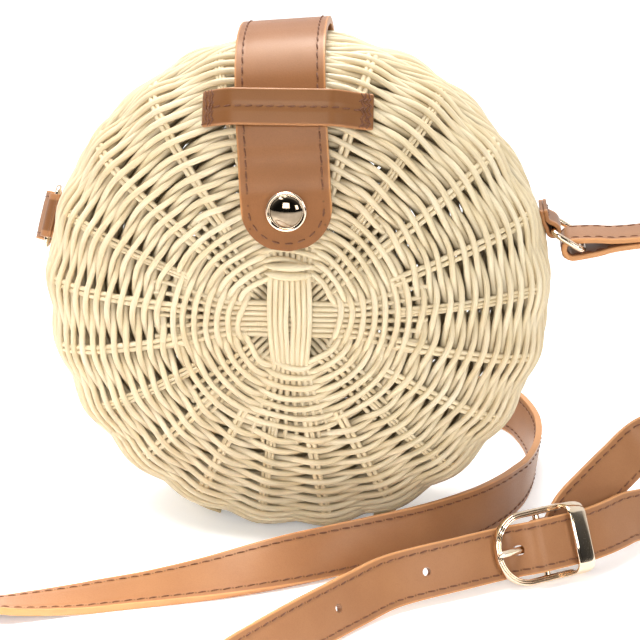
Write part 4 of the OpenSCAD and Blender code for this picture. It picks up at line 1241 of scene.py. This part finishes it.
def buckle_pieces():
    # D-shaped frame, its bar ridged along the front
    mid_y = frame_w / 2 - rail_w / 2
    arc_r = frame_corner - rail_w / 2
    rail_from, overlap = 20.0, 1.2
    rail = ((rails_to + overlap, mid_y, 0), (rail_from, mid_y, 0))
    places = list(rail)
    for k in range(33):
        x, y = polar(arc_r, radians(90 + 180 * k / 32))
        places.append((frame_corner + x, (k < 16) * 0.5 - (k > 16) * 0.5 + y, 0))
    places += [(x, -y, z) for x, y, z in reversed(rail)]
    a, b = rail_w / 2, rail_t / 2
    ridged = ((1, 0.45), (0.85, 0.85), (0.55, 1.0), (0.3, 0.72), (0, 1.05), (-0.3, 0.72),
              (-0.55, 1.0), (-0.85, 0.85), (-1, 0.45))
    section = [(x * a, y * b) for x, y in ((-1, -0.45), (-0.6, -1), (0.6, -1), (1, -0.45), *ridged)]
    frame_bar = swept_wire("buckle_body", places, section, False)
    bevel(frame_bar, 0.12 * MM, 2, 35)
    # Keeper band: an arch over the strap
    top = band_out - band_t / 2
    half = window_w / 2 + rail_w / 2
    corner = 3.4
    outline = [(-half, -rail_t / 2)]
    for end, first in ((-1, 180), (1, 90)):
        for k in range(9):
            x, y = polar(corner, radians(first - 90 * k / 8))
            outline.append((end * (half - corner) + x, top - corner + y))
    outline.append((half, -rail_t / 2))
    deselect()
    steps = 5
    points = []
    for y, z in outline:
        crown = 1.9 * (1 - (y / half) ** 2)
        for k in range(steps):
            f = k / (steps - 1)
            puff = 0.35 * (1 - (2 * f - 1) ** 2)
            n = (0.0, puff) if abs(y) < half - corner else (copysign(puff, y), 0.0)
            points.append((rails_to + band_w * f, y + n[0], z + n[1] + crown))
    faces = [(q, q + 1, q + steps + 1, q + steps) for q in range(len(points) - steps)
             if (q + 1) % steps]
    band = mesh_of("buckle_band", points, faces)
    apply_modifier(band, 'SOLIDIFY', thickness=band_t * MM, offset=0.0)
    bevel(band, 0.45 * MM, 3, 50)
    finish_metal(frame_bar, buckle_pt, 40, "back_half", "buckle_frame")
    finish_metal(band, buckle_pt, 40, "back_half")
    # Prong: an eye on the bar and a ridged tongue that rests on the round end
    steps, sides = 14, 5
    points = []
    for k in range(steps + 1):
        f = k / steps
        x = bar_at - 1.2 - (bar_at - 1.4) * f
        base = -0.4 + 2.0 * smooth(0.0, 0.95, f) + 0.15
        wide = prong_w * (0.5 - 0.12 * f) * (1 if f < 0.97 else 0.7)
        tall = 1.55 * (1 if f < 0.9 else 1 - 0.25 * (f - 0.9) / 0.1)
        points += [(x, -wide, base), (x, -wide, base + tall * 0.5), (x, 0, base + tall),
                   (x, wide, base + tall * 0.5), (x, wide, base)]
    tongue = mesh_of("buckle_tongue", points, skin(steps + 1, sides) + [
        tuple(range(sides - 1, -1, -1)), tuple(range(sides * steps, len(points)))])
    bevel(tongue, 0.18 * MM, 2, 30)
    inner, outer = 1.55, 2.45
    sides = 32
    points = []
    for end, radius in ((-1, inner), (-1, outer), (1, outer), (1, inner)):
        for k in range(sides):
            x, z = polar(radius, 2 * pi * k / sides)
            points.append((bar_at + x, end * prong_w / 2, z))
    eye = mesh_of("buckle_tongue_eye", points, skin(4, sides, 0, 1))
    finish_metal(tongue, buckle_pt, 35, "prong", "buckle_prong")
    finish_metal(eye, buckle_pt, 35, "prong")


def snap_button():
    # Rolled rim and a low mirror dome, turned round the snap's axis
    sides, dome_r = 64, 5.55
    outline = ((6.7, 0), (6.9, 0.2), (6.97, 0.75), (6.8, 1.2), (6.5, 1.5), (6.2, 1.52),
               (5.95, 1.35), (5.75, 1.05), (5.6, 1.0), (5.3, 1.3), (4.8, 1.72), (4.0, 2.2),
               (3.0, 2.57), (2.0, 2.79), (1.0, 2.91))
    points = [(*polar(r, 2 * pi * k / sides), h) for r, h in outline for k in range(sides)]
    last = len(points)
    top_ring = range(last - sides, last)
    faces = skin(len(outline), sides)
    faces += [(a, b, last) for a, b in zip(top_ring, [*top_ring[1:], top_ring[0]])]
    cap = mesh_of("snap_button", points + [(0, 0, 2.95)], faces)
    dome = [p.index for p in cap.data.polygons if Vector(p.center[:2]).length < dome_r * MM]
    matrix = at_flap @ dome_frame(s_snap, snap_stack + flap_t + 0.12)
    finish_metal(cap, lambda x, y, z: matrix @ Vector((x, y, z)), None, "flap", "snap_cap")
    # The dome faces get the darker plate, a painted dark reflection
    cap.data.materials.append(dark_reflection_plate)
    for i in dome:
        cap.data.polygons[i].material_index = 1


# ---- making
weave_half(1, "front")
weave_half(-1, "back")
long_strap()
short_strap()
flap_pieces()
keeper_pieces()
tab_pieces(-1, "left")
tab_pieces(1, "right")
hinge_strips()
wire_ring(-1, "left")
wire_ring(1, "right")
buckle_pieces()
snap_button()

for name, material in (("strike_plate", steel), ("backing_washer", steel), ("snap_magnet", steel),
                       ("buckle_bar", gold)):
    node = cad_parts[name]
    node.data.materials.clear()
    node.data.materials.append(material)

# ---- floor, light
deselect()
bpy.ops.mesh.primitive_plane_add(size=6, location=(0, 0, 0))
floor = bpy.context.object
floor.name = "floor"
floor_material, n = new_material("matt_white_card")
tint = n.ramp(n.cloud(n.place(), 3.0), (0.3, "#FAFAFA"), (0.7, "#FDFDFD"))
card = n.add('BsdfPrincipled', {'Base Color': tint, 'Roughness': 0.9})
lift_up = n.add('Emission', {'Color': (1, 1, 1, 1), 'Strength': n.times(n.seen(), 0.28)})
n.add('OutputMaterial', {'Surface': n.add('AddShader', {0: card, 1: lift_up})})
floor.data.materials.append(floor_material)

world = bpy.data.worlds.new("studio")
scene.world = world
world.use_nodes = True
n = Nodes(world.node_tree)
axes = n.add('SeparateXYZ', {0: n.add('TexCoord', None, 'Generated')}).node.outputs
lean_back = n.maths('ADD', n.times(axes['Y'], 0.75), n.times(axes['Z'], 0.25))
height = n.maths('MULTIPLY_ADD', lean_back, 0.5, 0.5)
shade = n.ramp(height, (0.30, 0.02), (0.45, 0.1), (0.56, 0.8), (0.72, 1.1))
# The camera sees white; mirrors see it too, except from the dark room on the camera's side
seen = n.seen(n.ramp(height, (0.46, 0.0), (0.56, 1.0)))
around = n.add('Background', {'Color': shade, 'Strength': 1.0})
plain = n.add('Background', {'Color': (1, 1, 1, 1), 'Strength': 1.0})
n.add('OutputWorld', {'Surface': n.add('MixShader', {0: seen, 1: around, 2: plain})})


def soft_light(name, place, aim, size, power, spread=180):
    """A square lamp: places and size in metres, power in watts, spread in degrees."""
    data = bpy.data.lights.new(name, 'AREA')
    data.size = size
    data.energy = power
    data.spread = radians(spread)
    lamp = bpy.data.objects.new(name, data)
    scene.collection.objects.link(lamp)
    lamp.location = place
    lamp.rotation_euler = (Vector(aim) - Vector(place)).to_track_quat('-Z', 'Y').to_euler()


soft_light("key", (-0.08, -1.15, 0.6), (0, 0, 0.08), 0.5, 6.2)
soft_light("top", (-0.15, 0.15, 1.25), (0, -0.02, 0.05), 0.8, 14.5)
soft_light("fill", (0.9, -0.9, 0.5), (0, 0, 0.08), 0.4, 3.8)
soft_light("strap", (-0.25, -0.22, 0.42), (-0.13, -0.16, 0), 0.25, 0.45, 42)
soft_light("flap", (-0.01, 0.2, 0.58), (-0.01, -0.03, 0.18), 0.16, 0.055, 30)
scene.view_settings.view_transform = 'Standard'
